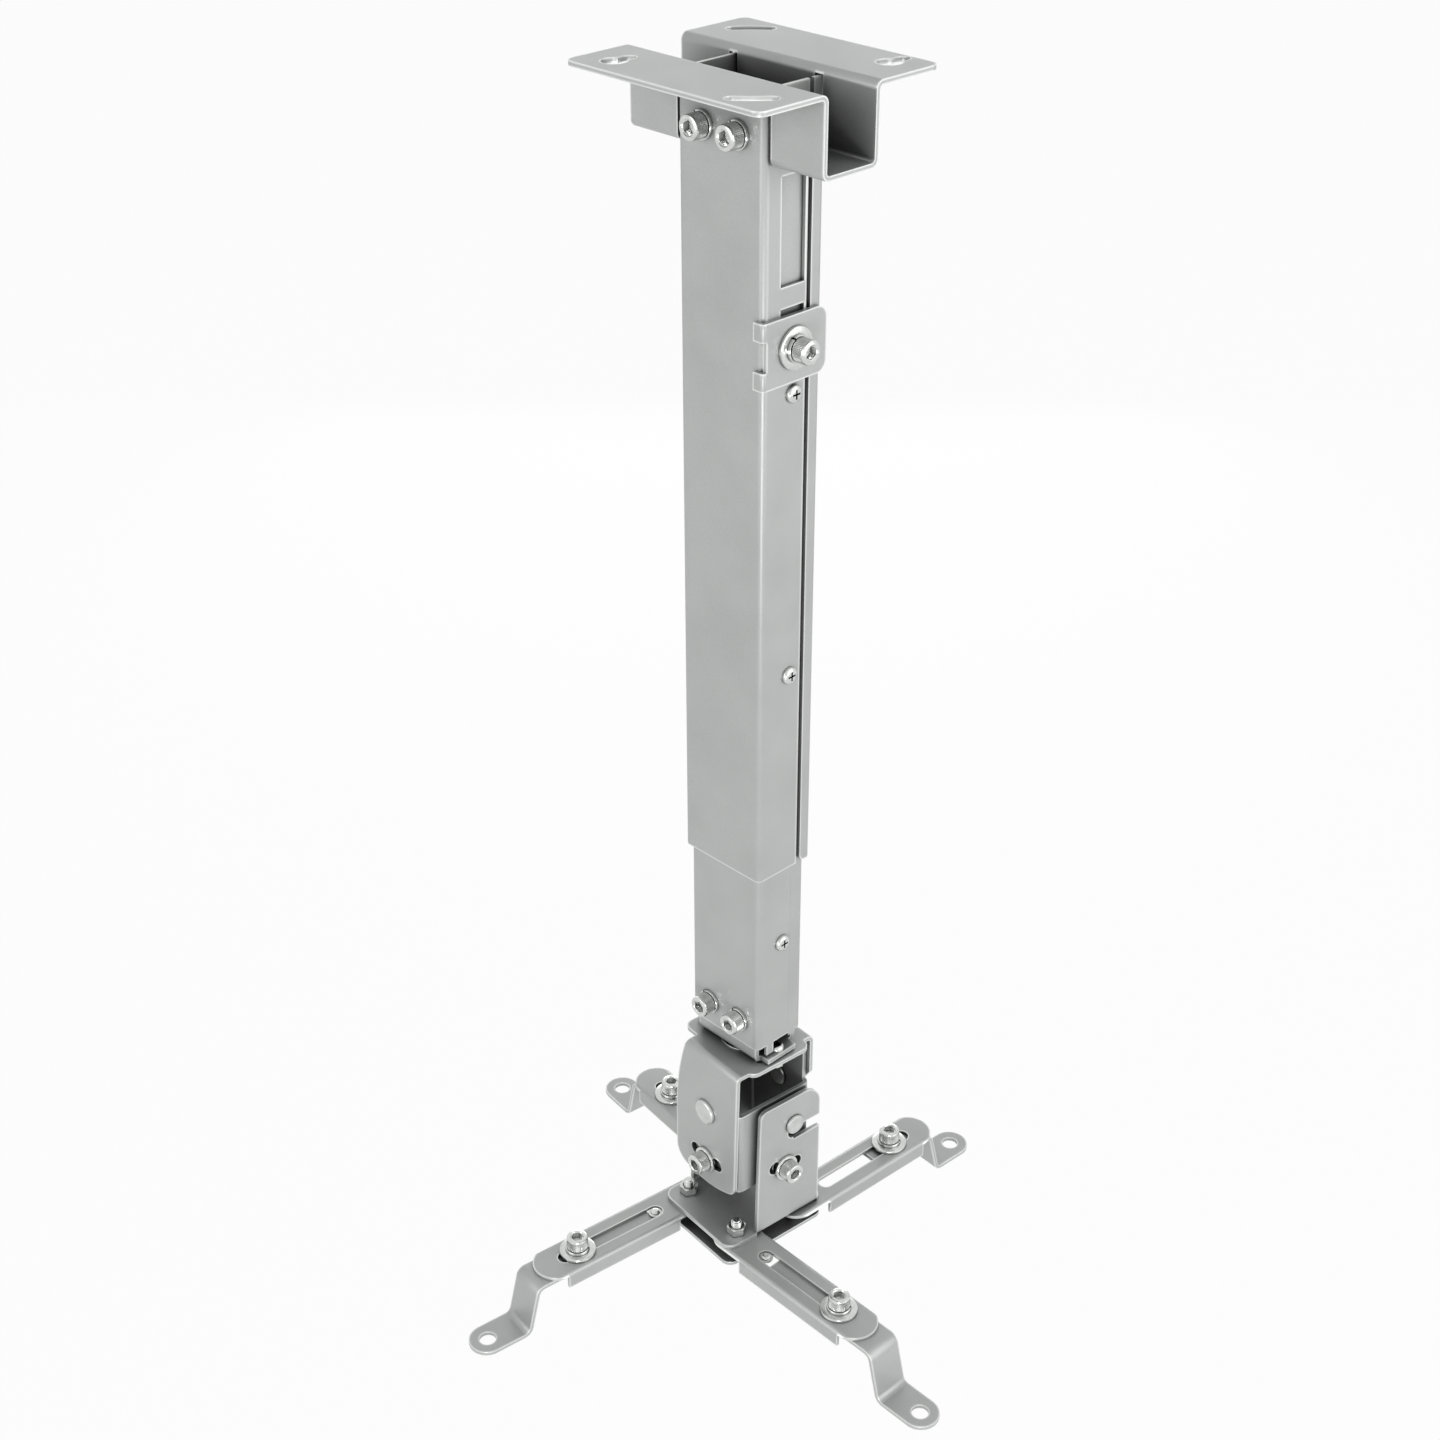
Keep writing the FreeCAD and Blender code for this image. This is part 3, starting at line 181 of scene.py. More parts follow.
@dataclass(frozen=True)
class PlatedFinish:
    """Bright plated steel of the bolts, nuts, washers and rivets."""

    name: str
    colour: Colour
    roughness: float
    smoother: float = 0.05
    rougher: float = 0.07
    darker: float = 0.88
    brighter: float = 1.05
    grain_scale: float = 1500.0
    bloom_scale: float = 260.0
    recess_reach: float = 3.0 * MM
    recess_shade: float = 0.06
    grain_height: float = 0.04 * MM

    def build(self) -> Material:
        """Makes the material.

        Returns:
            The node material that one family of fasteners shares.
        """
        material, tree, shader = new_material(self.name)
        coords = tree.nodes.new("ShaderNodeTexCoord")
        grain = noise(tree, coords, self.grain_scale, detail=4.0)
        bloom = noise(tree, coords, self.bloom_scale, detail=3.0)
        tint = ramp(tree, bloom, scaled(self.colour, self.darker), scaled(self.colour, self.brighter))
        # Painted shade: knurl grooves, thread roots and gaps between parts are darkened
        shaded = mixed(tree, "MULTIPLY", 1.0, tint, painted_recess_shade(tree, self.recess_reach, self.recess_shade))
        tree.links.new(shaded, shader.inputs["Base Color"])
        shader.inputs["Metallic"].default_value = 1.0
        gloss = ramp(tree, grain, grey(self.roughness - self.smoother), grey(self.roughness + self.rougher))
        tree.links.new(gloss, shader.inputs["Roughness"])
        bumped(tree, shader, grain, self.grain_height)
        return material


@dataclass(frozen=True)
class FloorFinish:
    """Plain white floor that shows white to the camera and keeps a soft shadow."""

    name: str = "studio_floor"
    colour: Colour = (0.92, 0.92, 0.92)
    roughness: float = 0.9
    camera_share: float = 0.95

    def build(self) -> Material:
        """Makes the material.

        Returns:
            The floor's node material.
        """
        material, tree, shader = new_material(self.name)
        shader.inputs["Base Color"].default_value = (*self.colour, 1.0)
        shader.inputs["Roughness"].default_value = self.roughness
        shader.inputs["Specular IOR Level"].default_value = 0.0
        glow = tree.nodes.new("ShaderNodeEmission")
        glow.inputs["Color"].default_value = WHITE
        glow.inputs["Strength"].default_value = 1.0
        share = maths(tree, "MULTIPLY", seen_by_eye(tree), self.camera_share)
        surface = tree.nodes["Material Output"].inputs["Surface"]
        blended(tree, share, shader.outputs["BSDF"], glow.outputs["Emission"], surface)
        return material


def new_material(name: str) -> tuple[Material, Tree, Node]:
    """Starts a node material.

    Args:
        name: the material's name.

    Returns:
        The material, its node tree and its main shader.
    """
    material = bpy.data.materials.new(name)
    material.use_nodes = True
    tree = material.node_tree
    return material, tree, tree.nodes["Principled BSDF"]


def feed(tree: Tree, value: Feed, socket: Socket) -> None:
    """Links a socket to an input, or sets the input to a plain value.

    Args:
        tree: the node tree.
        value: a socket, a number or a colour.
        socket: the input.
    """
    if isinstance(value, Socket):
        tree.links.new(value, socket)
    else:
        socket.default_value = value


def maths(tree: Tree, operation: str, first: Feed, second: Feed) -> Socket:
    """Adds a node that works out one value from two.

    Args:
        tree: the node tree.
        operation: what the node does.
        first: a socket or a number.
        second: a socket or a number.

    Returns:
        The result's socket.
    """
    node = tree.nodes.new("ShaderNodeMath")
    node.operation = operation
    feed(tree, first, node.inputs[0])
    feed(tree, second, node.inputs[1])
    return node.outputs["Value"]


def seen_by_eye(tree: Tree) -> Socket:
    """Tells the rays that reach the eye from light's own.

    Args:
        tree: the node tree.

    Returns:
        A socket that is 1 for rays from the camera, a mirror or a glass, and 0 for the others.
    """
    path = tree.nodes.new("ShaderNodeLightPath")
    plain = maths(tree, "MAXIMUM", path.outputs["Is Camera Ray"], path.outputs["Is Glossy Ray"])
    return maths(tree, "MAXIMUM", plain, path.outputs["Is Transmission Ray"])


def blended(tree: Tree, share: Socket, base: Socket, other: Socket, surface: Socket) -> None:
    """Mixes two shaders into an output.

    Args:
        tree: the node tree.
        share: how much of the second shader.
        base: the first shader's socket.
        other: the second shader's socket.
        surface: the output's input.
    """
    blend = tree.nodes.new("ShaderNodeMixShader")
    tree.links.new(share, blend.inputs["Fac"])
    tree.links.new(base, blend.inputs[1])
    tree.links.new(other, blend.inputs[2])
    tree.links.new(blend.outputs["Shader"], surface)


def grey(value: float) -> Colour:
    """The same value in all three channels."""
    return (value, value, value)


def scaled(colour: Sequence[float], factor: float) -> Colour:
    """A colour made lighter or darker by a factor."""
    return tuple(min(1.0, channel * factor) for channel in colour)


def noise(tree: Tree, coords: Node, scale: float, detail: float) -> Node:
    """Adds a noise texture on object coordinates.

    Args:
        tree: the material's node tree.
        coords: its texture coordinate node.
        scale: features per metre.
        detail: octaves.

    Returns:
        The noise node.
    """
    node = tree.nodes.new("ShaderNodeTexNoise")
    node.inputs["Scale"].default_value = scale
    node.inputs["Detail"].default_value = detail
    tree.links.new(coords.outputs["Object"], node.inputs["Vector"])
    return node


def ramp(
    tree: Tree, source: Node, low: Colour, high: Colour, start: float = 0.3, stop: float = 0.7
) -> Socket:
    """Adds a two-colour ramp.

    Args:
        tree: the material's node tree.
        source: the noise that drives the ramp.
        low: colour at the ramp's start.
        high: colour at its stop.
        start: where the first colour ends.
        stop: where the second colour begins.

    Returns:
        The socket of its colour.
    """
    node = tree.nodes.new("ShaderNodeValToRGB")
    first, second = node.color_ramp.elements
    first.position = start
    first.color = (*low, 1.0)
    second.position = stop
    second.color = (*high, 1.0)
    tree.links.new(source.outputs["Fac"], node.inputs["Fac"])
    return node.outputs["Color"]


def mixed(tree: Tree, blend: str, factor: Feed, first: Feed, second: Feed) -> Socket:
    """Adds a colour mix.

    Args:
        tree: the material's node tree.
        blend: the blend type.
        factor: how much of the second colour.
        first: a socket or a plain colour.
        second: a socket or a plain colour.

    Returns:
        The socket of the mixed colour.
    """
    node = tree.nodes.new("ShaderNodeMix")
    node.data_type = "RGBA"
    node.blend_type = blend
    colours = [socket for socket in node.inputs if socket.type == "RGBA"]
    feed(tree, factor, node.inputs["Factor"])
    feed(tree, first, colours[0])
    feed(tree, second, colours[1])
    return next(socket for socket in node.outputs if socket.type == "RGBA")


def bumped(tree: Tree, shader: Node, source: Node, height: float) -> None:
    """Links a noise to a shader's normal as a shallow relief.

    Args:
        tree: the material's node tree.
        shader: its main shader.
        source: the noise.
        height: how deep the relief is, in metres.
    """
    bump = tree.nodes.new("ShaderNodeBump")
    bump.inputs["Strength"].default_value = RELIEF
    bump.inputs["Distance"].default_value = height
    tree.links.new(source.outputs["Fac"], bump.inputs["Height"])
    tree.links.new(bump.outputs["Normal"], shader.inputs["Normal"])


def spread(tree: Tree, source: Socket, start: float, stop: float, low: float, high: float) -> Socket:
    """Stretches a value from one span to another.

    Args:
        tree: the material's node tree.
        source: the value.
        start: where the first span starts.
        stop: where it stops.
        low: the result at the start.
        high: the result at the stop.

    Returns:
        The stretched value's socket.
    """
    node = tree.nodes.new("ShaderNodeMapRange")
    node.inputs["From Min"].default_value = start
    node.inputs["From Max"].default_value = stop
    node.inputs["To Min"].default_value = low
    node.inputs["To Max"].default_value = high
    tree.links.new(source, node.inputs["Value"])
    return node.outputs["Result"]


def cut_edge_highlight(tree: Tree, depth: float, share: float) -> Socket:
    """Finds a sheet's cut edges, which get a near-white painted highlight and a more metallic finish.

    Args:
        tree: the material's node tree.
        depth: how far the mask looks into the sheet, less than the sheet's thickness.
        share: the value on a cut edge.

    Returns:
        A socket that is the share on a cut edge and 0 on a broad face.
    """
    node = tree.nodes.new("ShaderNodeAmbientOcclusion")
    node.samples = AO_SAMPLES
    node.inside = True
    node.only_local = True
    node.inputs["Distance"].default_value = depth
    return spread(tree, node.outputs["AO"], BROAD_FACE, CUT_EDGE, 0.0, share)


def painted_recess_shade(tree: Tree, reach: float, deepest: float) -> Socket:
    """Paints shade into closed-in places, darker the nearer the next surface is.

    Args:
        tree: the material's node tree.
        reach: how near the next surface has to be.
        deepest: the value in the most closed-in place.

    Returns:
        A socket that is 1 in the open.
    """
    node = tree.nodes.new("ShaderNodeAmbientOcclusion")
    node.samples = AO_SAMPLES
    node.inputs["Distance"].default_value = reach
    return spread(tree, node.outputs["AO"], CLOSED_IN, IN_THE_OPEN, deepest, 1.0)


@dataclass
class Finishes:
    """The materials of the whole mount."""

    paint: Material = field(default_factory=lambda: PaintFinish().build())
    smooth_paint: Material = field(
        default_factory=lambda: PaintFinish("filled_seam_paint", edge_highlight_share=0.0).build()
    )
    zinc: Material = field(
        default_factory=lambda: PlatedFinish("zinc_steel", (0.66, 0.67, 0.66), 0.22).build()
    )
    rivet: Material = field(
        default_factory=lambda: PlatedFinish("rivet_steel", (0.62, 0.63, 0.62), 0.34).build()
    )

    def of(self, slot: Slot) -> Material:
        """The material of a slot."""
        return {Slot.PAINT: self.paint, Slot.ZINC: self.zinc, Slot.RIVET: self.rivet}[slot]


# Turned and threaded shapes, in millimetres along +Z


THREAD_STEPS = 28
THREAD_DEPTH = 0.55
SPARE_TURNS = 3
SHANK_STEPS = 36
SHANK_OVERLAP = 0.1
RING_GAP = 1e-4
THREAD_GAP = 1e-3
CUT_GAP = 1e-5


def ring_place(ring: Ring, angle: float) -> tuple[float, float]:
    """Where a ring stands at an angle.

    Args:
        ring: the ring.
        angle: the direction from the piece's axis, in radians.

    Returns:
        The distance from the axis and the height.
    """
    reach = ring.radius
    height = ring.height
    if ring.form is Form.HEX:
        sixth = FULL_TURN / 6.0
        reach = ring.radius / math.cos(angle % sixth - sixth / 2.0)
        height += ring.lift * (reach - ring.radius)
    elif ring.form is Form.CROSS:
        quarter = FULL_TURN / 4.0
        part = angle % quarter
        part = min(part, quarter - part)
        reach = min(ring.radius / math.cos(part), ring.depth / max(math.sin(part), NEAR_AXIS))
    return reach, height


def ring_layer(mesh: BMesh) -> Layer:
    """Readies the layer that numbers a new shape's rings, and sets every earlier point to zero.

    Args:
        mesh: the mesh that the shape is added to.

    Returns:
        The layer.
    """
    layer = mesh.verts.layers.int.get("ring") or mesh.verts.layers.int.new("ring")
    for vert in mesh.verts:
        vert[layer] = 0
    return layer


def face_outwards(mesh: BMesh, layer: Layer) -> None:
    """Turns the faces of the newest shape outwards."""
    faces = {face for vert in mesh.verts if vert[layer] > 0 for face in vert.link_faces}
    bmesh.ops.recalc_face_normals(mesh, faces=list(faces))


def spun(
    mesh: BMesh, geom: Geom, steps: int, angle: float = FULL_TURN, rise: float = 0.0, merge: bool = False
) -> None:
    """Spins a profile about the piece's own axis.

    Args:
        mesh: the mesh that holds the profile.
        geom: the profile's points and edges.
        steps: columns of faces round the axis.
        angle: how far it turns, in radians.
        rise: how far each step climbs along the axis.
        merge: whether the last column joins the first.
    """
    bmesh.ops.spin(
        mesh, geom=geom, cent=(0, 0, 0), axis=(0, 0, 1), dvec=(0, 0, rise),
        angle=angle, steps=steps, use_merge=merge,
    )


def turned(mesh: BMesh, rings: Sequence[Ring], steps: int, closed: bool = False) -> None:
    """Spins a profile of rings into a solid and gives each ring its form.

    Args:
        mesh: the mesh that the solid is added to.
        rings: the profile, from one end to the other.
        steps: columns of faces round the axis.
        closed: whether the last ring joins the first, as in a washer.
    """
    layer = ring_layer(mesh)
    chain = []
    for index, ring in enumerate(rings):
        vert = mesh.verts.new((ring.radius, 0.0, ring.height))
        vert[layer] = index + 1
        chain.append(vert)
    pairs = list(zip(chain, chain[1:]))
    if closed:
        pairs.append((chain[-1], chain[0]))
    edges = [mesh.edges.new(pair) for pair in pairs]
    spun(mesh, chain + edges, steps, merge=True)
    step = FULL_TURN / steps
    fresh = [vert for vert in mesh.verts if vert[layer] > 0]
    for vert in fresh:
        ring = rings[vert[layer] - 1]
        if ring.radius < NEAR_AXIS:
            continue
        angle = math.atan2(vert.co.y, vert.co.x)
        reach, height = ring_place(ring, angle)
        if ring.form is Form.KNURL and round(angle / step) % 2:
            reach -= ring.depth
        vert.co = (reach * math.cos(angle), reach * math.sin(angle), height)
    bmesh.ops.remove_doubles(mesh, verts=fresh, dist=RING_GAP)
    face_outwards(mesh, layer)


def threaded(mesh: BMesh, radius: float, pitch: float, low: float, high: float) -> None:
    """Adds a length of cut thread as a closed bar.

    Args:
        mesh: the mesh that the bar is added to.
        radius: the thread's outer radius.
        pitch: its pitch.
        low: the bar's lower end.
        high: its upper end.
    """
    layer = ring_layer(mesh)
    turns = int((high - low) / pitch) + SPARE_TURNS
    start = low - SPARE_TURNS / 2.0 * pitch
    chain = []
    for index in range(2 * turns + 1):
        reach = radius if index % 2 else radius - THREAD_DEPTH * pitch
        vert = mesh.verts.new((reach, 0.0, start + index * pitch / 2.0))
        vert[layer] = 1
        chain.append(vert)
    edges = [mesh.edges.new(pair) for pair in zip(chain, chain[1:])]
    spun(mesh, chain + edges, THREAD_STEPS, rise=pitch / THREAD_STEPS)
    fresh = [vert for vert in mesh.verts if vert[layer] == 1]
    bmesh.ops.remove_doubles(mesh, verts=fresh, dist=THREAD_GAP)
    for level, way in ((low, -1.0), (high, 1.0)):
        verts = [vert for vert in mesh.verts if vert[layer] == 1]
        edges = {edge for vert in verts for edge in vert.link_edges}
        faces = {face for vert in verts for face in vert.link_faces}
        bmesh.ops.bisect_plane(
            mesh, geom=[*verts, *edges, *faces], dist=CUT_GAP,
            plane_co=(0, 0, level), plane_no=(0, 0, way), clear_outer=True,
        )
        rim = [
            edge for edge in mesh.edges
            if edge.is_boundary and all(abs(vert.co.z - level) < THREAD_GAP for vert in edge.verts)
        ]
        bmesh.ops.edgeloop_fill(mesh, edges=rim)
        for edge in rim:
            for vert in edge.verts:
                vert[layer] = 1
    face_outwards(mesh, layer)


def plain_shank(mesh: BMesh, radius: float, runout: float, low: float, high: float) -> None:
    """Adds the smooth part of a bolt between its thread and its head.

    Args:
        mesh: the mesh that the part is added to.
        radius: the shank's radius.
        runout: how much thinner it ends, inside the thread.
        low: where the thread starts.
        high: where the head starts.
    """
    end = low - runout - SHANK_OVERLAP
    turned(mesh, (
        Ring(0.0, end),
        Ring(radius - runout, end),
        Ring(radius, low),
        Ring(radius, high),
        Ring(0.0, high),
    ), SHANK_STEPS)


def thread_tip(mesh: BMesh, end: float, root: float, height: float) -> None:
    """Adds the chamfered tip of a thread.

    Args:
        mesh: the mesh that the tip is added to.
        end: the radius of its flat end.
        root: the radius where it meets the thread.
        height: its height.
    """
    turned(mesh, (Ring(0.0, 0.0), Ring(end, 0.0), Ring(root, height), Ring(0.0, height)), SHANK_STEPS)


class Shape(Protocol):
    """A piece that can add itself to a mesh."""

    def shape(self, mesh: BMesh, length: float) -> None:
        """Adds the piece between zero and the length.

        Args:
            mesh: the mesh that the piece is added to.
            length: how long the piece is.
        """


@dataclass(frozen=True)
class SocketBolt:
    """A socket head bolt with a knurled head and a cut thread."""

    head_radius: float = 5.0
    head_height: float = 6.0
    flats: float = 5.0
    socket_depth: float = 3.4
    groove: float = 0.24
    shank_radius: float = 3.0
    pitch: float = 1.0
    thread: float = 10.0
    thread_clear: float = 0.4
    runout: float = 0.5
    thread_start: float = 0.35
    tip_height: float = 0.42
    tip_cut: float = 0.95
    root_cut: float = 0.58
    steps: int = 96

    def shape(self, mesh: BMesh, length: float) -> None:
        """Adds the bolt, its thread's end at zero and its head's top at the length.

        Args:
            mesh: the mesh that the bolt is added to.
            length: from the thread's end to the head's top.
        """
        top = length
        seat = length - self.head_height
        outer = self.head_radius
        key = self.flats / 2.0
        corner = key / math.cos(FULL_TURN / 12.0)
        turned(mesh, (
            Ring(0.0, seat - 1.0),
            Ring(self.shank_radius, seat - 1.0),
            Ring(self.shank_radius, seat + 0.3),
            Ring(outer - 0.45, seat + 0.02),
            Ring(outer - 0.08, seat + 0.30),
            Ring(outer - 0.02, seat + 0.50, Form.KNURL, self.groove),
            Ring(outer, top - 1.35, Form.KNURL, self.groove),
            Ring(outer - 0.06, top - 1.15),
            Ring(outer - 0.10, top - 0.65),
            Ring(outer - 0.30, top - 0.25),
            Ring(outer - 0.72, top),
            Ring(corner + 0.34, top),
            Ring(corner + 0.02, top - 0.34),
            Ring(key, top - 0.36, Form.HEX),
            Ring(key, top - self.socket_depth, Form.HEX),
            Ring(key * 0.82, top - self.socket_depth - 0.12),
            Ring(0.0, top - self.socket_depth - 0.9),
        ), self.steps)
        if seat - self.runout > self.thread:
            plain_shank(mesh, self.shank_radius, self.runout, self.thread, seat)
        thread_end = min(self.thread, seat - self.thread_clear)
        threaded(mesh, self.shank_radius, self.pitch, self.thread_start, thread_end)
        root = self.shank_radius - self.root_cut
        thread_tip(mesh, self.shank_radius - self.tip_cut, root, self.tip_height)


@dataclass(frozen=True)
class HexBolt:
    """A bolt with a six-sided head, rounded off on top."""

    flats: float
    head_height: float
    shank_radius: float
    pitch: float
    thread: float
    runout: float = 0.4
    thread_start: float = 0.30
    tip_height: float = 0.36
    tip_cut: float = 0.85
    root_cut: float = 0.50
    steps: int = 72

    def shape(self, mesh: BMesh, length: float) -> None:
        """Adds the bolt, its thread's end at zero and its head's top at the length.

        Args:
            mesh: the mesh that the bolt is added to.
            length: from the thread's end to the head's top.
        """
        seat = length - self.head_height
        key = self.flats / 2.0
        turned(mesh, (
            Ring(0.0, seat),
            Ring(key - 0.1, seat),
            Ring(key, seat + 0.12, Form.HEX),
            Ring(key, length - 0.15, Form.HEX, lift=-CHAMFER_SLOPE),
            Ring(key - 0.15, length),
            Ring(key * 0.6, length),
            Ring(key * 0.5, length - 0.18),
            Ring(0.0, length - 0.18),
        ), self.steps)
        plain_shank(mesh, self.shank_radius, self.runout, self.thread, seat + 0.3)
        threaded(mesh, self.shank_radius, self.pitch, self.thread_start, self.thread)
        root = self.shank_radius - self.root_cut
        thread_tip(mesh, self.shank_radius - self.tip_cut, root, self.tip_height)


@dataclass(frozen=True)
class PanScrew:
    """A domed screw with a cross recess."""

    head_radius: float = 3.8
    head_height: float = 2.2
    shank_radius: float = 2.0
    cross_reach: float = 2.05
    cross_depth: float = 1.35
    cross_angle: float = 11.25
    steps: int = 96

    def shape(self, mesh: BMesh, length: float) -> None:
        """Adds the screw, its shank's end at zero and its head's top at the length.

        Args:
            mesh: the mesh that the screw is added to.
            length: from the shank's end to the head's top.
        """
        seat = length - self.head_height
        outer = self.head_radius
        wide = self.cross_reach * math.tan(math.radians(self.cross_angle))
        floor = length - self.cross_depth
        turned(mesh, (
            Ring(0.0, 0.0),
            Ring(self.shank_radius - 0.1, 0.0),
            Ring(self.shank_radius, 0.1),
            Ring(self.shank_radius, seat),
            Ring(outer - 0.15, seat),
            Ring(outer, seat + 0.12),
            Ring(outer, seat + self.head_height * 0.34),
            Ring(outer * 0.96, seat + self.head_height * 0.58),
            Ring(outer * 0.86, seat + self.head_height * 0.80),
            Ring(outer * 0.70, seat + self.head_height * 0.94),
            Ring(outer * 0.58, seat + self.head_height * 0.985),
            Ring(self.cross_reach, length - 0.02, Form.CROSS, wide),
            Ring(self.cross_reach * 0.82, floor, Form.CROSS, wide * 0.82),
            Ring(0.0, floor - 0.3),
        ), self.steps)


@dataclass(frozen=True)
class HexNut:
    """A six-sided nut with chamfered corners and a countersunk bore."""

    flats: float
    bore: float
    steps: int = 72

    def shape(self, mesh: BMesh, length: float) -> None:
        """Adds the nut between zero and the length.

        Args:
            mesh: the mesh that the nut is added to.
            length: the nut's height.
        """
        key = self.flats / 2.0
        turned(mesh, (
            Ring(self.bore + 0.45, 0.0),
            Ring(key - 0.12, 0.0),
            Ring(key, 0.10, Form.HEX, lift=CHAMFER_SLOPE),
            Ring(key, length - 0.10, Form.HEX, lift=-CHAMFER_SLOPE),
            Ring(key - 0.12, length),
            Ring(self.bore + 0.45, length),
            Ring(self.bore - 0.12, length - 0.5),
            Ring(self.bore - 0.12, 0.5),
        ), self.steps, closed=True)


@dataclass(frozen=True)
class FlatWasher:
    """A stamped flat washer: its upper rim is rounded, its lower rim sharp."""

    outer: float
    bore: float
    steps: int = 80

    def shape(self, mesh: BMesh, length: float) -> None:
        """Adds the washer between zero and the length.

        Args:
            mesh: the mesh that the washer is added to.
            length: the washer's thickness.
        """
        turned(mesh, (
            Ring(self.bore, 0.10),
            Ring(self.bore + 0.10, 0.0),
            Ring(self.outer - 0.05, 0.0),
            Ring(self.outer, 0.10),
            Ring(self.outer, length - 0.40),
            Ring(self.outer - 0.12, length - 0.14),
            Ring(self.outer - 0.40, length),
            Ring(self.bore + 0.25, length),
            Ring(self.bore, length - 0.15),
        ), self.steps, closed=True)


@dataclass(frozen=True)
class SpringWasher:
    """A split spring washer of square wire, its two ends a little apart."""

    outer: float
    bore: float
    opening: float = 9.0
    start: float = 35.0
    edge: float = 0.12
    steps: int = 70

    def shape(self, mesh: BMesh, length: float, base: float = 0.0) -> None:
        """Adds the washer between the base and the base plus the length.

        Args:
            mesh: the mesh that the washer is added to.
            length: the washer's thickness.
            base: where its lower face lies.
        """
        edge = self.edge
        top = base + length
        profile = (
            (self.bore, base + edge), (self.bore + edge, base),
            (self.outer - edge, base), (self.outer, base + edge),
            (self.outer, top - edge), (self.outer - edge, top),
            (self.bore + edge, top), (self.bore, top - edge),
        )
        turn = Matrix.Rotation(math.radians(self.start), 3, "Z")
        loop = [mesh.verts.new(turn @ Vector((reach, 0.0, height))) for reach, height in profile]
        edges = [mesh.edges.new((loop[i], loop[(i + 1) % len(loop)])) for i in range(len(loop))]
        before = set(mesh.faces)
        spun(mesh, loop + edges, self.steps, FULL_TURN - math.radians(self.opening))
        wall = [face for face in mesh.faces if face not in before]
        rim = list({edge for face in wall for edge in face.edges if edge.is_boundary})
        caps = bmesh.ops.holes_fill(mesh, edges=rim, sides=0)["faces"]
        bmesh.ops.recalc_face_normals(mesh, faces=wall + caps)


M6_SPRING_WASHER = SpringWasher(5.6, 3.1)


@dataclass(frozen=True)
class WasherStack:
    """A large flat washer with a spring washer on it."""

    flat: FlatWasher = FlatWasher(8.6, 3.15)
    spring: SpringWasher = M6_SPRING_WASHER
    flat_height: float = 1.6

    def shape(self, mesh: BMesh, length: float) -> None:
        """Adds both washers between zero and the length."""
        self.flat.shape(mesh, self.flat_height)
        self.spring.shape(mesh, length - self.flat_height, self.flat_height)


@dataclass(frozen=True)
class Rivet:
    """A flat-headed rivet with a turned rim and an upset tail."""

    head_radius: float = 6.2
    head_height: float = 2.0
    shank_radius: float = 4.0
    tail_radius: float = 5.4
    tail_height: float = 1.0
    steps: int = 80

    def shape(self, mesh: BMesh, length: float) -> None:
        """Adds the rivet, its tail at zero and its head's top at the length.

        Args:
            mesh: the mesh that the rivet is added to.
            length: from the tail to the head's top.
        """
        seat = length - self.head_height
        turned(mesh, (
            Ring(0.0, 0.12),
            Ring(self.tail_radius - 1.2, 0.0),
            Ring(self.tail_radius - 0.3, 0.12),
            Ring(self.tail_radius, self.tail_height * 0.5),
            Ring(self.tail_radius - 0.2, self.tail_height),
            Ring(self.shank_radius, self.tail_height),
            Ring(self.shank_radius, seat),
            Ring(self.head_radius - 0.1, seat),
            Ring(self.head_radius, seat + 0.12),
            Ring(self.head_radius, length - 0.85),
            Ring(self.head_radius - 0.16, length - 0.45),
            Ring(self.head_radius - 0.55, length - 0.12),
            Ring(self.head_radius - 1.1, length),
            Ring(0.0, length - 0.05),
        ), self.steps)


@dataclass(frozen=True)
class StubPin:
    """A headed pin with a collar against the link's wall."""

    head_radius: float = 4.8
    head_height: float = 1.4
    stem_radius: float = 3.2
    collar_radius: float = 5.0
    collar_low: float = 2.0
    collar_high: float = 4.3
    steps: int = 72

    def shape(self, mesh: BMesh, length: float) -> None:
        """Adds the pin, its inner end at zero and its head's face at the length.

        Args:
            mesh: the mesh that the pin is added to.
            length: from the inner end to the head's face.
        """
        under = length - self.head_height
        turned(mesh, (
            Ring(0.0, 0.05),
            Ring(self.stem_radius - 0.3, 0.0),
            Ring(self.stem_radius, 0.25),
            Ring(self.stem_radius, self.collar_low),
            Ring(self.collar_radius, self.collar_low),
            Ring(self.collar_radius, self.collar_high),
            Ring(self.stem_radius, self.collar_high),
            Ring(self.stem_radius, under),
            Ring(self.head_radius - 0.1, under),
            Ring(self.head_radius, under + 0.12),
            Ring(self.head_radius, length - 0.42),
            Ring(self.head_radius - 0.14, length - 0.14),
            Ring(self.head_radius - 0.45, length),
            Ring(0.0, length - 0.04),
        ), self.steps)


@dataclass(frozen=True)
class SlotStud:
    """A small domed stud pressed into the round end of an arm's slot."""

    radius: float = 3.3
    steps: int = 48

    def shape(self, mesh: BMesh, length: float) -> None:
        """Adds the stud, its foot at zero and its dome's top at the length.

        Args:
            mesh: the mesh that the stud is added to.
            length: from the foot to the dome's top.
        """
        turned(mesh, (
            Ring(0.0, 0.0),
            Ring(self.radius - 0.2, 0.0),
            Ring(self.radius, 0.2),
            Ring(self.radius, length - 1.3),
            Ring(self.radius - 0.9, length - 1.2),
            Ring(self.radius - 1.1, length - 0.6),
            Ring(self.radius - 1.7, length - 0.15),
            Ring(self.radius - 2.5, length),
            Ring(0.0, length),
        ), self.steps)


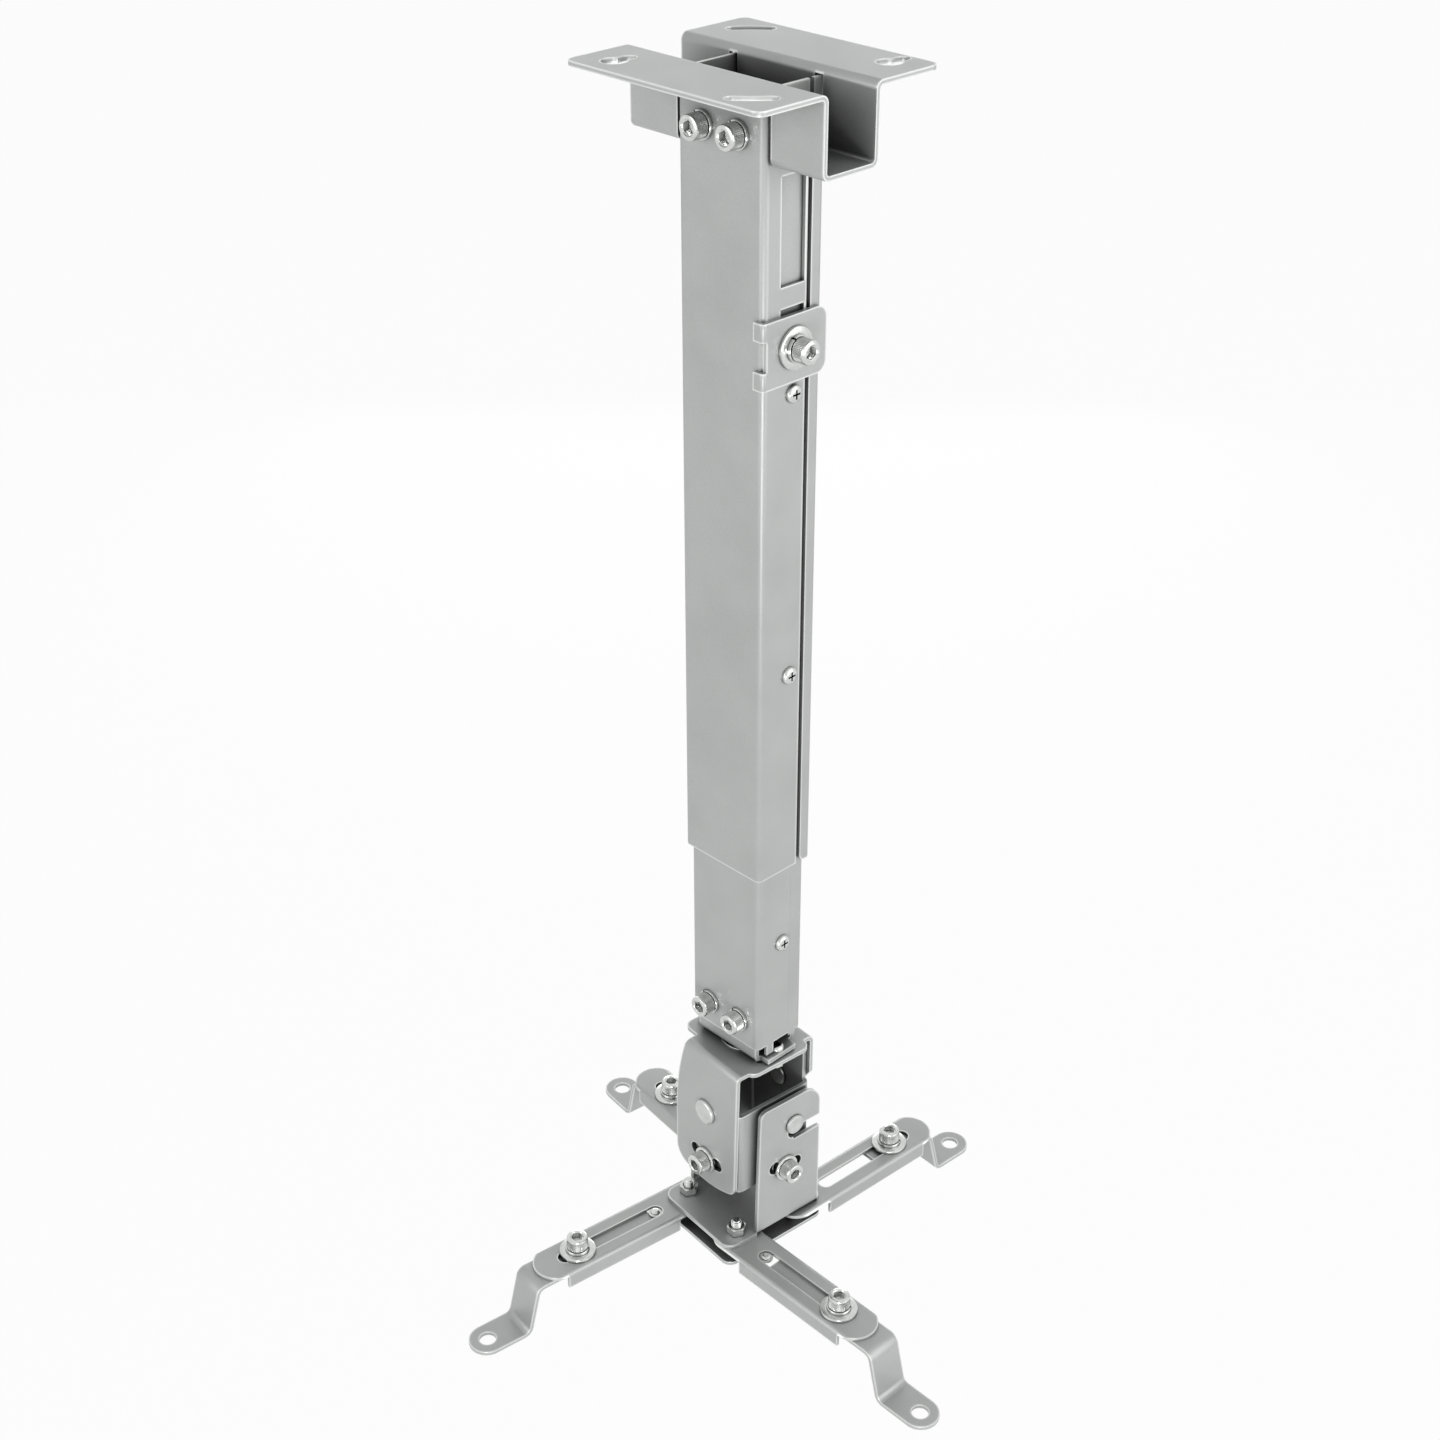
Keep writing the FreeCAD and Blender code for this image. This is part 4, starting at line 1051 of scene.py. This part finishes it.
@dataclass(frozen=True)
class SeamWeld:
    """The filled and painted seam of a folded tube, a long flat bar."""

    width: float = 4.4
    depth: float = 1.4

    def shape(self, mesh: BMesh, length: float) -> None:
        """Adds the bar, its side along the seam's wall, between zero and the length.

        Args:
            mesh: the mesh that the bar is added to.
            length: how long the seam is.
        """
        size = Vector((self.depth, self.width, length))
        bmesh.ops.create_cube(mesh, size=1.0, matrix=Matrix.Diagonal(size.to_4d()))
        bmesh.ops.translate(mesh, verts=mesh.verts, vec=(0.0, 0.0, length / 2.0))


@dataclass(frozen=True)
class Sleeve:
    """A plain tube between two plates."""

    outer: float = 4.4
    bore: float = 2.7
    steps: int = 56

    def shape(self, mesh: BMesh, length: float) -> None:
        """Adds the sleeve between zero and the length.

        Args:
            mesh: the mesh that the sleeve is added to.
            length: the sleeve's height.
        """
        turned(mesh, (
            Ring(self.bore + 0.2, 0.0),
            Ring(self.outer - 0.2, 0.0),
            Ring(self.outer, 0.2),
            Ring(self.outer, length - 0.2),
            Ring(self.outer - 0.2, length),
            Ring(self.bore + 0.2, length),
            Ring(self.bore, length - 0.2),
            Ring(self.bore, 0.2),
        ), self.steps, closed=True)


M6_NUT = HexNut(10.0, 3.0)
LONG_M6_BOLT = SocketBolt(thread=18.0)


# Fitting the pieces


@dataclass(frozen=True)
class Seat:
    """Where one solid stands: its foot, its direction, its length and half its width, in metres."""

    foot: Vector
    out: Vector
    length: float
    reach: float = 0.0


def joint_of(name: str) -> dict:
    """One of the record's joints."""
    return next(joint for joint in frame["record"]["behaviour"]["joints"] if joint["name"] == name)


def joint_axis(name: str) -> Vector:
    """The direction of one of the record's joints."""
    return Vector(joint_of(name)["axis"]).normalized()


def body_of(node: str) -> str:
    """The body that a CAD node belongs to."""
    bodies = frame["record"]["behaviour"]["bodies"]
    return next(body for body, nodes in bodies.items() if node in nodes)


def linked(name: str, data: bpy.types.ID) -> bpy.types.Object:
    """Makes an object of its data and puts it in the scene.

    Args:
        name: the object's name.
        data: its mesh, its lamp or its camera.

    Returns:
        The object.
    """
    obj = bpy.data.objects.new(name, data)
    bpy.context.scene.collection.objects.link(obj)
    return obj


def crosswise(out: Vector) -> tuple[Vector, Vector]:
    """Finds two directions square to a piece's own and to each other.

    Args:
        out: the piece's own direction.

    Returns:
        The two directions.
    """
    side = UP if abs(out.z) < UPRIGHT else RIGHT
    side = (side - out * side.dot(out)).normalized()
    return side, out.cross(side)


def islands(node: str) -> list[list[Vector]]:
    """The separate solids of a CAD node.

    Args:
        node: the node's name.

    Returns:
        The points of each solid.
    """
    mesh = bmesh.new()
    mesh.from_mesh(frame["nodes"][node].data)
    bmesh.ops.remove_doubles(mesh, verts=mesh.verts, dist=MERGE)
    left = set(mesh.verts)
    groups = []
    while left:
        stack = [left.pop()]
        group = []
        while stack:
            vert = stack.pop()
            group.append(vert.co.copy())
            for edge in vert.link_edges:
                other = edge.other_vert(vert)
                if other in left:
                    left.remove(other)
                    stack.append(other)
        groups.append(group)
    mesh.free()
    groups.sort(key=lambda points: tuple(round(c, 5) for c in sum(points, Vector()) / len(points)))
    return groups


def seats(node: str, axis: Vector, both_ways: bool = False) -> list[Seat]:
    """Where a node's turned solids stand.

    Args:
        node: the node's name.
        axis: the direction from a solid's foot to its head.
        both_ways: whether solids on the far side of the middle point the other way.

    Returns:
        One seat for each solid.
    """
    found = []
    for points in islands(node):
        centre = sum(points, Vector()) / len(points)
        out = -axis if both_ways and centre.dot(axis) < 0.0 else axis
        side, other = crosswise(out)
        spans = []
        for way in (out, side, other):
            values = [point.dot(way) for point in points]
            spans.append((min(values), max(values)))
        (low, high), first, second = spans
        foot = out * low + side * (sum(first) / 2.0) + other * (sum(second) / 2.0)
        found.append(Seat(foot, out, high - low, (first[1] - first[0]) / 2.0))
    return found


def whole_seat(node: str, axis: Vector) -> Seat:
    """Where a stack of washers stands, taken as one solid.

    Args:
        node: the stack's CAD node.
        axis: the direction from its foot to its top.

    Returns:
        The seat of the whole stack.
    """
    low, high = (Vector(corner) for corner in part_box(node))
    middle = (low + high) / 2.0
    half = (high - low).dot(Vector([abs(c) for c in axis])) / 2.0
    return Seat(middle - axis * half, axis, 2.0 * half)


@dataclass
class Workshop:
    """Builds, dresses and reports the mount's pieces."""

    finishes: Finishes
    edge_break: float = 0.16
    sharp_angle: float = 32.0

    def sheet(self, node: str) -> None:
        """Dresses a carried-over folded sheet and breaks its sharp edges.

        Args:
            node: the sheet's CAD node.
        """
        obj = frame["nodes"][node]
        self.dress(obj, Slot.PAINT)
        weld = obj.modifiers.new("join", "WELD")
        weld.merge_threshold = MERGE
        bevel = obj.modifiers.new("broken_edge", "BEVEL")
        bevel.width = self.edge_break * MM
        bevel.segments = 2
        bevel.limit_method = "ANGLE"
        bevel.angle_limit = math.radians(self.sharp_angle)
        bevel.use_clamp_overlap = True
        LOG.info("dressed %s", node)

    def dress(self, obj: bpy.types.Object, slot: Slot) -> None:
        """Gives an object the one material of a slot."""
        obj.data.materials.clear()
        obj.data.materials.append(self.finishes.of(slot))

    def fit(self, name: str, node: str, slot: Slot, places: Iterable[tuple[Shape, Seat]]) -> None:
        """Makes one piece from shapes on seats, in place of a CAD node.

        Args:
            name: the new piece's name.
            node: the CAD node that it stands for.
            slot: the slot of its finish.
            places: each shape with the seat that it stands on.
        """
        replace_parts(self.add(name, body_of(node), slot, places), node)

    def add(
        self, name: str, body: str, slot: Slot, places: Iterable[tuple[Shape, Seat]]
    ) -> bpy.types.Object:
        """Makes one piece from shapes on seats.

        Args:
            name: the new piece's name.
            body: the body that it rides on.
            slot: the slot of its finish.
            places: each shape with the seat that it stands on.

        Returns:
            The piece.
        """
        whole = bmesh.new()
        for shape, seat in places:
            part = bmesh.new()
            shape.shape(part, seat.length / MM)
            turn = Matrix((*crosswise(seat.out), seat.out)).transposed().to_4x4()
            place = Matrix.Translation(seat.foot) @ turn @ Matrix.Scale(MM, 4)
            bmesh.ops.transform(part, matrix=place, verts=part.verts)
            scrap = bpy.data.meshes.new("scrap")
            part.to_mesh(scrap)
            part.free()
            whole.from_mesh(scrap)
            bpy.data.meshes.remove(scrap)
        for layer in list(whole.verts.layers.int.values()):
            whole.verts.layers.int.remove(layer)
        data = bpy.data.meshes.new(name)
        whole.to_mesh(data)
        whole.free()
        data.polygons.foreach_set("use_smooth", [True] * len(data.polygons))
        data.set_sharp_from_angle(angle=math.radians(self.sharp_angle))
        obj = linked(name, data)
        self.dress(obj, slot)
        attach(obj, body)
        LOG.info("built %s, %d faces", name, len(data.polygons))
        return obj

    def all_alike(
        self,
        name: str,
        node: str,
        shape: Shape,
        axis: Vector,
        both_ways: bool = False,
        slot: Slot = Slot.ZINC,
    ) -> None:
        """Makes one piece of the same shape on every solid of a CAD node.

        Args:
            name: the new piece's name.
            node: the CAD node that it stands for.
            shape: the shape that each solid gets.
            axis: the direction from a solid's foot to its head.
            both_ways: whether solids on the far side of the middle point the other way.
            slot: the slot of its finish.
        """
        self.fit(name, node, slot, [(shape, seat) for seat in seats(node, axis, both_ways)])

    def stacked(self, name: str, node: str, stack: WasherStack, axis: Vector) -> None:
        """Makes one piece of a stack of washers in place of a CAD node."""
        self.fit(name, node, Slot.ZINC, [(stack, whole_seat(node, axis))])


# Sub-assemblies


@dataclass
class CeilingHanger:
    """The hat-section ceiling bracket and the two bolts that hold the column in it."""

    bolt: SocketBolt = LONG_M6_BOLT
    washer: SpringWasher = M6_SPRING_WASHER
    nut: HexNut = M6_NUT

    def build(self, shop: Workshop) -> None:
        """Builds and dresses the bracket and its fasteners.

        Args:
            shop: what makes, dresses and reports the pieces.
        """
        shop.sheet("ceiling_bracket")
        shop.all_alike("top_bolts_knurled", "top_bolts", self.bolt, FRONT)
        shop.all_alike("top_washers_split", "top_washers", self.washer, FRONT)
        shop.all_alike("top_nuts_hex", "top_nuts", self.nut, BACK)


@dataclass
class OuterColumn:
    """The outer tube with its height clamp and cross-head screws."""

    clamp_bolt: SocketBolt = SocketBolt(thread=5.0)
    washers: WasherStack = WasherStack()
    screw: PanScrew = PanScrew()

    def build(self, shop: Workshop) -> None:
        """Builds and dresses the tube, the clamp plate and their fasteners.

        Args:
            shop: what makes, dresses and reports the pieces.
        """
        shop.sheet("outer_tube")
        shop.sheet("clamp_plate")
        shop.all_alike("clamp_bolt_knurled", "clamp_bolt", self.clamp_bolt, RIGHT)
        shop.stacked("clamp_washer_stack", "clamp_washers", self.washers, RIGHT)
        shop.all_alike("outer_screws_cross", "outer_screws", self.screw, RIGHT)


@dataclass
class InnerColumn:
    """The inner tube, its end bracket and the swivel's bolt, washer and lock screws."""

    bolt: SocketBolt = LONG_M6_BOLT
    washer: SpringWasher = M6_SPRING_WASHER
    nut: HexNut = M6_NUT
    screw: PanScrew = PanScrew()
    swivel_bolt: HexBolt = HexBolt(13.0, 5.0, 4.0, 1.25, 9.0)
    swivel_nut: HexNut = HexNut(13.0, 4.0)
    swivel_washer: FlatWasher = FlatWasher(12.0, 4.2)
    lock_screw: PanScrew = PanScrew(3.4, 2.4, 2.0, 1.9, 1.3)
    lock_nut: HexNut = HexNut(7.0, 2.0)
    weld: SeamWeld = SeamWeld()
    seam_middle: float = 8.1
    weld_proud: float = 0.03
    weld_short: float = 4.0

    def fill_seam(self, shop: Workshop) -> None:
        """Builds the inner tube's filled seam and paints it without bright edges.

        Args:
            shop: what makes, dresses and reports the pieces.
        """
        low, high = (Vector(corner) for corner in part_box("inner_tube"))
        across = high.x / MM - self.weld.depth / 2.0 + self.weld_proud
        foot = Vector((across, self.seam_middle, low.z / MM + self.weld_short)) * MM
        seat = Seat(foot, UP, high.z - low.z - 2.0 * self.weld_short * MM)
        weld = shop.add("inner_seam_weld", "inner_column", Slot.PAINT, [(self.weld, seat)])
        weld.data.materials[0] = shop.finishes.smooth_paint

    def build(self, shop: Workshop) -> None:
        """Builds and dresses the tube's lower end and the swivel.

        Args:
            shop: what makes, dresses and reports the pieces.
        """
        shop.sheet("inner_tube")
        shop.sheet("end_bracket")
        self.fill_seam(shop)
        shop.all_alike("inner_screw_cross", "inner_screw", self.screw, RIGHT)
        shop.all_alike("end_bolts_knurled", "end_bolts", self.bolt, FRONT)
        shop.all_alike("end_washers_split", "end_washers", self.washer, FRONT)
        shop.all_alike("end_nuts_hex", "end_nuts", self.nut, BACK)
        shop.all_alike("swivel_bolt_hex", "swivel_bolt", self.swivel_bolt, UP)
        shop.all_alike("swivel_nut_hex", "swivel_nut", self.swivel_nut, -UP)
        shop.all_alike("swivel_washer_flat", "swivel_washer", self.swivel_washer, UP)
        shop.all_alike("lock_screws_cross", "lock_screws", self.lock_screw, UP)
        shop.all_alike("lock_nuts_hex", "lock_nuts", self.lock_nut, -UP)


@dataclass
class SwivelYoke:
    """The inverted U under the column with its two roll rivets."""

    rivet: Rivet = Rivet()

    def build(self, shop: Workshop) -> None:
        """Builds and dresses the yoke and its rivets.

        Args:
            shop: what makes, dresses and reports the pieces.
        """
        shop.sheet("yoke")
        axis = joint_axis("roll")
        shop.all_alike("roll_rivets_turned", "roll_rivets", self.rivet, axis, True, Slot.RIVET)


@dataclass
class RollLink:
    """The folded ring inside the yoke with its clamp bolts and stub pins."""

    bolt: SocketBolt = SocketBolt(thread=8.0)
    washer: FlatWasher = FlatWasher(6.4, 3.15)
    ring: FlatWasher = FlatWasher(5.6, 3.15)
    washer_from: float = 6.0
    nut: HexNut = M6_NUT
    pin: StubPin = StubPin()

    def build(self, shop: Workshop) -> None:
        """Builds and dresses the link and what it carries.

        Args:
            shop: what makes, dresses and reports the pieces.
        """
        roll = -joint_axis("roll")
        pitch = joint_axis("pitch")
        shop.sheet("roll_link")
        shop.all_alike("roll_bolt_knurled", "roll_bolts", self.bolt, roll)
        shop.all_alike("roll_washer_flat", "roll_washers", self.washer, roll)
        shop.all_alike("roll_nut_hex", "roll_nuts", self.nut, -roll)
        shop.all_alike("pitch_pins_turned", "pitch_pins", self.pin, pitch, True, Slot.RIVET)
        shop.all_alike("pitch_bolts_knurled", "pitch_bolts", self.bolt, pitch, True)
        shop.all_alike("pitch_nuts_hex", "pitch_nuts", self.nut, pitch, True)
        rings = []
        for seat in seats("pitch_washers", pitch, True):
            wide = seat.reach > self.washer_from * MM
            rings.append((self.washer if wide else self.ring, seat))
        shop.fit("pitch_washers_flat", "pitch_washers", Slot.ZINC, rings)


@dataclass
class PitchHead:
    """The hooked pitch bracket, the plate under the arms and the four pivots."""

    bolt: HexBolt = HexBolt(8.0, 3.5, 2.5, 0.8, 11.0)
    nut: HexNut = HexNut(8.0, 2.5)
    sleeve: Sleeve = Sleeve()

    def build(self, shop: Workshop) -> None:
        """Builds and dresses the bracket, the plate and the pivots.

        Args:
            shop: what makes, dresses and reports the pieces.
        """
        shop.sheet("pitch_bracket")
        shop.sheet("lower_plate")
        shop.all_alike("corner_bolts_hex", "corner_bolts", self.bolt, -UP)
        shop.all_alike("corner_nuts_hex", "corner_nuts", self.nut, UP)
        shop.all_alike("corner_sleeves", "corner_spacers", self.sleeve, UP)


@dataclass
class SwingArm:
    """One slotted arm with the foot that slides in it."""

    name: str
    studded: bool
    stud: SlotStud = SlotStud()
    stud_along: float = 20.0
    stud_top: float = 0.7
    stud_height: float = 2.15
    bolt: SocketBolt = SocketBolt(thread=9.0)
    washers: WasherStack = WasherStack()
    nut: HexNut = M6_NUT

    def press_stud(self, shop: Workshop) -> None:
        """Builds the stud in the inner end of the arm's slot.

        Args:
            shop: what makes, dresses and reports the pieces.
        """
        pivot = Vector(joint_of("swing_" + self.name)["pos_m"])
        along = joint_axis("reach_" + self.name) * self.stud_along * MM
        foot = pivot + along + UP * (self.stud_top - self.stud_height) * MM
        seat = Seat(foot, UP, self.stud_height * MM)
        shop.add("slot_stud_" + self.name, "arm_" + self.name, Slot.ZINC, [(self.stud, seat)])

    def build(self, shop: Workshop) -> None:
        """Builds and dresses the arm, its foot and the foot's bolt.

        Args:
            shop: what makes, dresses and reports the pieces.
        """
        shop.sheet("arm_" + self.name)
        shop.sheet("foot_" + self.name)
        bolt, stack, nut = ("foot_bolt_" + self.name, "foot_washers_" + self.name, "foot_nut_" + self.name)
        shop.all_alike(bolt + "_knurled", bolt, self.bolt, UP)
        shop.stacked(stack + "_stack", stack, self.washers, UP)
        shop.all_alike(nut + "_hex", nut, self.nut, -UP)
        if self.studded:
            self.press_stud(shop)


# Studio


@dataclass(frozen=True)
class Lamp:
    """One soft square lamp: its place and side in metres and its power in watts."""

    name: str
    place: tuple[float, float, float]
    side: float
    power: float

    def hang(self, target: Sequence[float]) -> None:
        """Makes the lamp and points it at the target.

        Args:
            target: the point that it shines at.
        """
        data = bpy.data.lights.new(self.name, "AREA")
        data.shape = "SQUARE"
        data.size = self.side
        data.energy = self.power
        obj = linked(self.name, data)
        obj.location = self.place
        aim = Vector(target) - Vector(self.place)
        obj.rotation_euler = aim.to_track_quat("-Z", "Y").to_euler()


@dataclass
class Studio:
    """The camera at the photograph's angle, the soft lights and the floor."""

    azimuth: float = 45.81
    elevation: float = 30.52
    roll: float = -0.12
    place: tuple[float, float, float] = (0.57733, -0.57779, 0.20570)
    focal_pixels: float = 2240.56
    clip: tuple[float, float] = (0.05, 50.0)
    floor_level: float = -0.900
    floor_reach: float = 6.0
    ambient: float = 0.34
    backdrop: float = 0.965
    middle: tuple[float, float, float] = (0.0, 0.0, -0.3)
    lamps: tuple[Lamp, ...] = (
        Lamp("key_lamp", (1.4, 0.5, 0.1), 1.5, 10.5),
        Lamp("front_lamp", (-0.3, -1.7, 0.2), 1.2, 8.0),
        Lamp("low_lamp", (1.0, -1.0, -0.55), 0.30, 6.5),
        Lamp("back_lamp", (-1.3, 1.3, -0.2), 1.2, 8.0),
    )

    def axes(self) -> tuple[Vector, Vector, Vector]:
        """Works out how the camera is turned.

        Returns:
            The camera's right, up and forward directions.
        """
        az = math.radians(self.azimuth)
        el = math.radians(self.elevation)
        forward = Vector((-math.sin(az) * math.cos(el), math.cos(az) * math.cos(el), -math.sin(el)))
        right = Vector((math.cos(az), math.sin(az), 0.0))
        up = right.cross(forward)
        turn = math.radians(self.roll)
        return (
            right * math.cos(turn) + up * math.sin(turn),
            up * math.cos(turn) - right * math.sin(turn),
            forward,
        )

    def camera(self) -> None:
        """Makes the camera."""
        data = bpy.data.cameras.new("photo_camera")
        data.sensor_width = SENSOR_MM
        data.lens = self.focal_pixels / PHOTO_PIXELS * SENSOR_MM
        data.clip_start, data.clip_end = self.clip
        obj = linked("photo_camera", data)
        right, up, forward = self.axes()
        matrix = Matrix((right, up, -forward)).transposed().to_4x4()
        matrix.translation = Vector(self.place)
        obj.matrix_world = matrix
        bpy.context.scene.camera = obj

    def world(self) -> None:
        """Makes the pale surroundings, to the camera as white as the far floor, so no horizon shows."""
        world = bpy.data.worlds.new("studio")
        bpy.context.scene.world = world
        world.use_nodes = True
        tree = world.node_tree
        lit = tree.nodes["Background"]
        lit.inputs["Color"].default_value = WHITE
        lit.inputs["Strength"].default_value = self.ambient
        seen = tree.nodes.new("ShaderNodeBackground")
        seen.inputs["Color"].default_value = WHITE
        seen.inputs["Strength"].default_value = self.backdrop
        surface = tree.nodes["World Output"].inputs["Surface"]
        blended(tree, seen_by_eye(tree), lit.outputs["Background"], seen.outputs["Background"], surface)

    def floor(self) -> None:
        """Makes the plain floor."""
        mesh = bpy.data.meshes.new("studio_floor")
        plane = bmesh.new()
        bmesh.ops.create_grid(plane, x_segments=1, y_segments=1, size=self.floor_reach)
        bmesh.ops.translate(plane, verts=plane.verts, vec=(0.0, 0.0, self.floor_level))
        plane.to_mesh(mesh)
        plane.free()
        mesh.materials.append(FloorFinish().build())
        linked("studio_floor", mesh)

    def build(self) -> None:
        """Makes the whole studio."""
        self.camera()
        self.world()
        self.floor()
        for lamp in self.lamps:
            lamp.hang(self.middle)
        bpy.context.scene.view_settings.view_transform = "Standard"
        LOG.info("studio ready")


# Each arm's name, and whether its slot holds a stud
ARMS = (("front_left", True), ("front_right", True), ("rear_right", False), ("rear_left", False))


def main() -> None:
    """Builds the studio, then every sub-assembly from the ceiling down."""
    logging.basicConfig(level=logging.INFO, format="%(message)s")
    Studio().build()
    shop = Workshop(Finishes())
    parts = [CeilingHanger(), OuterColumn(), InnerColumn(), SwivelYoke(), RollLink(), PitchHead()]
    parts += [SwingArm(name, studded) for name, studded in ARMS]
    for part in parts:
        part.build(shop)


if __name__ == "__main__":
    main()
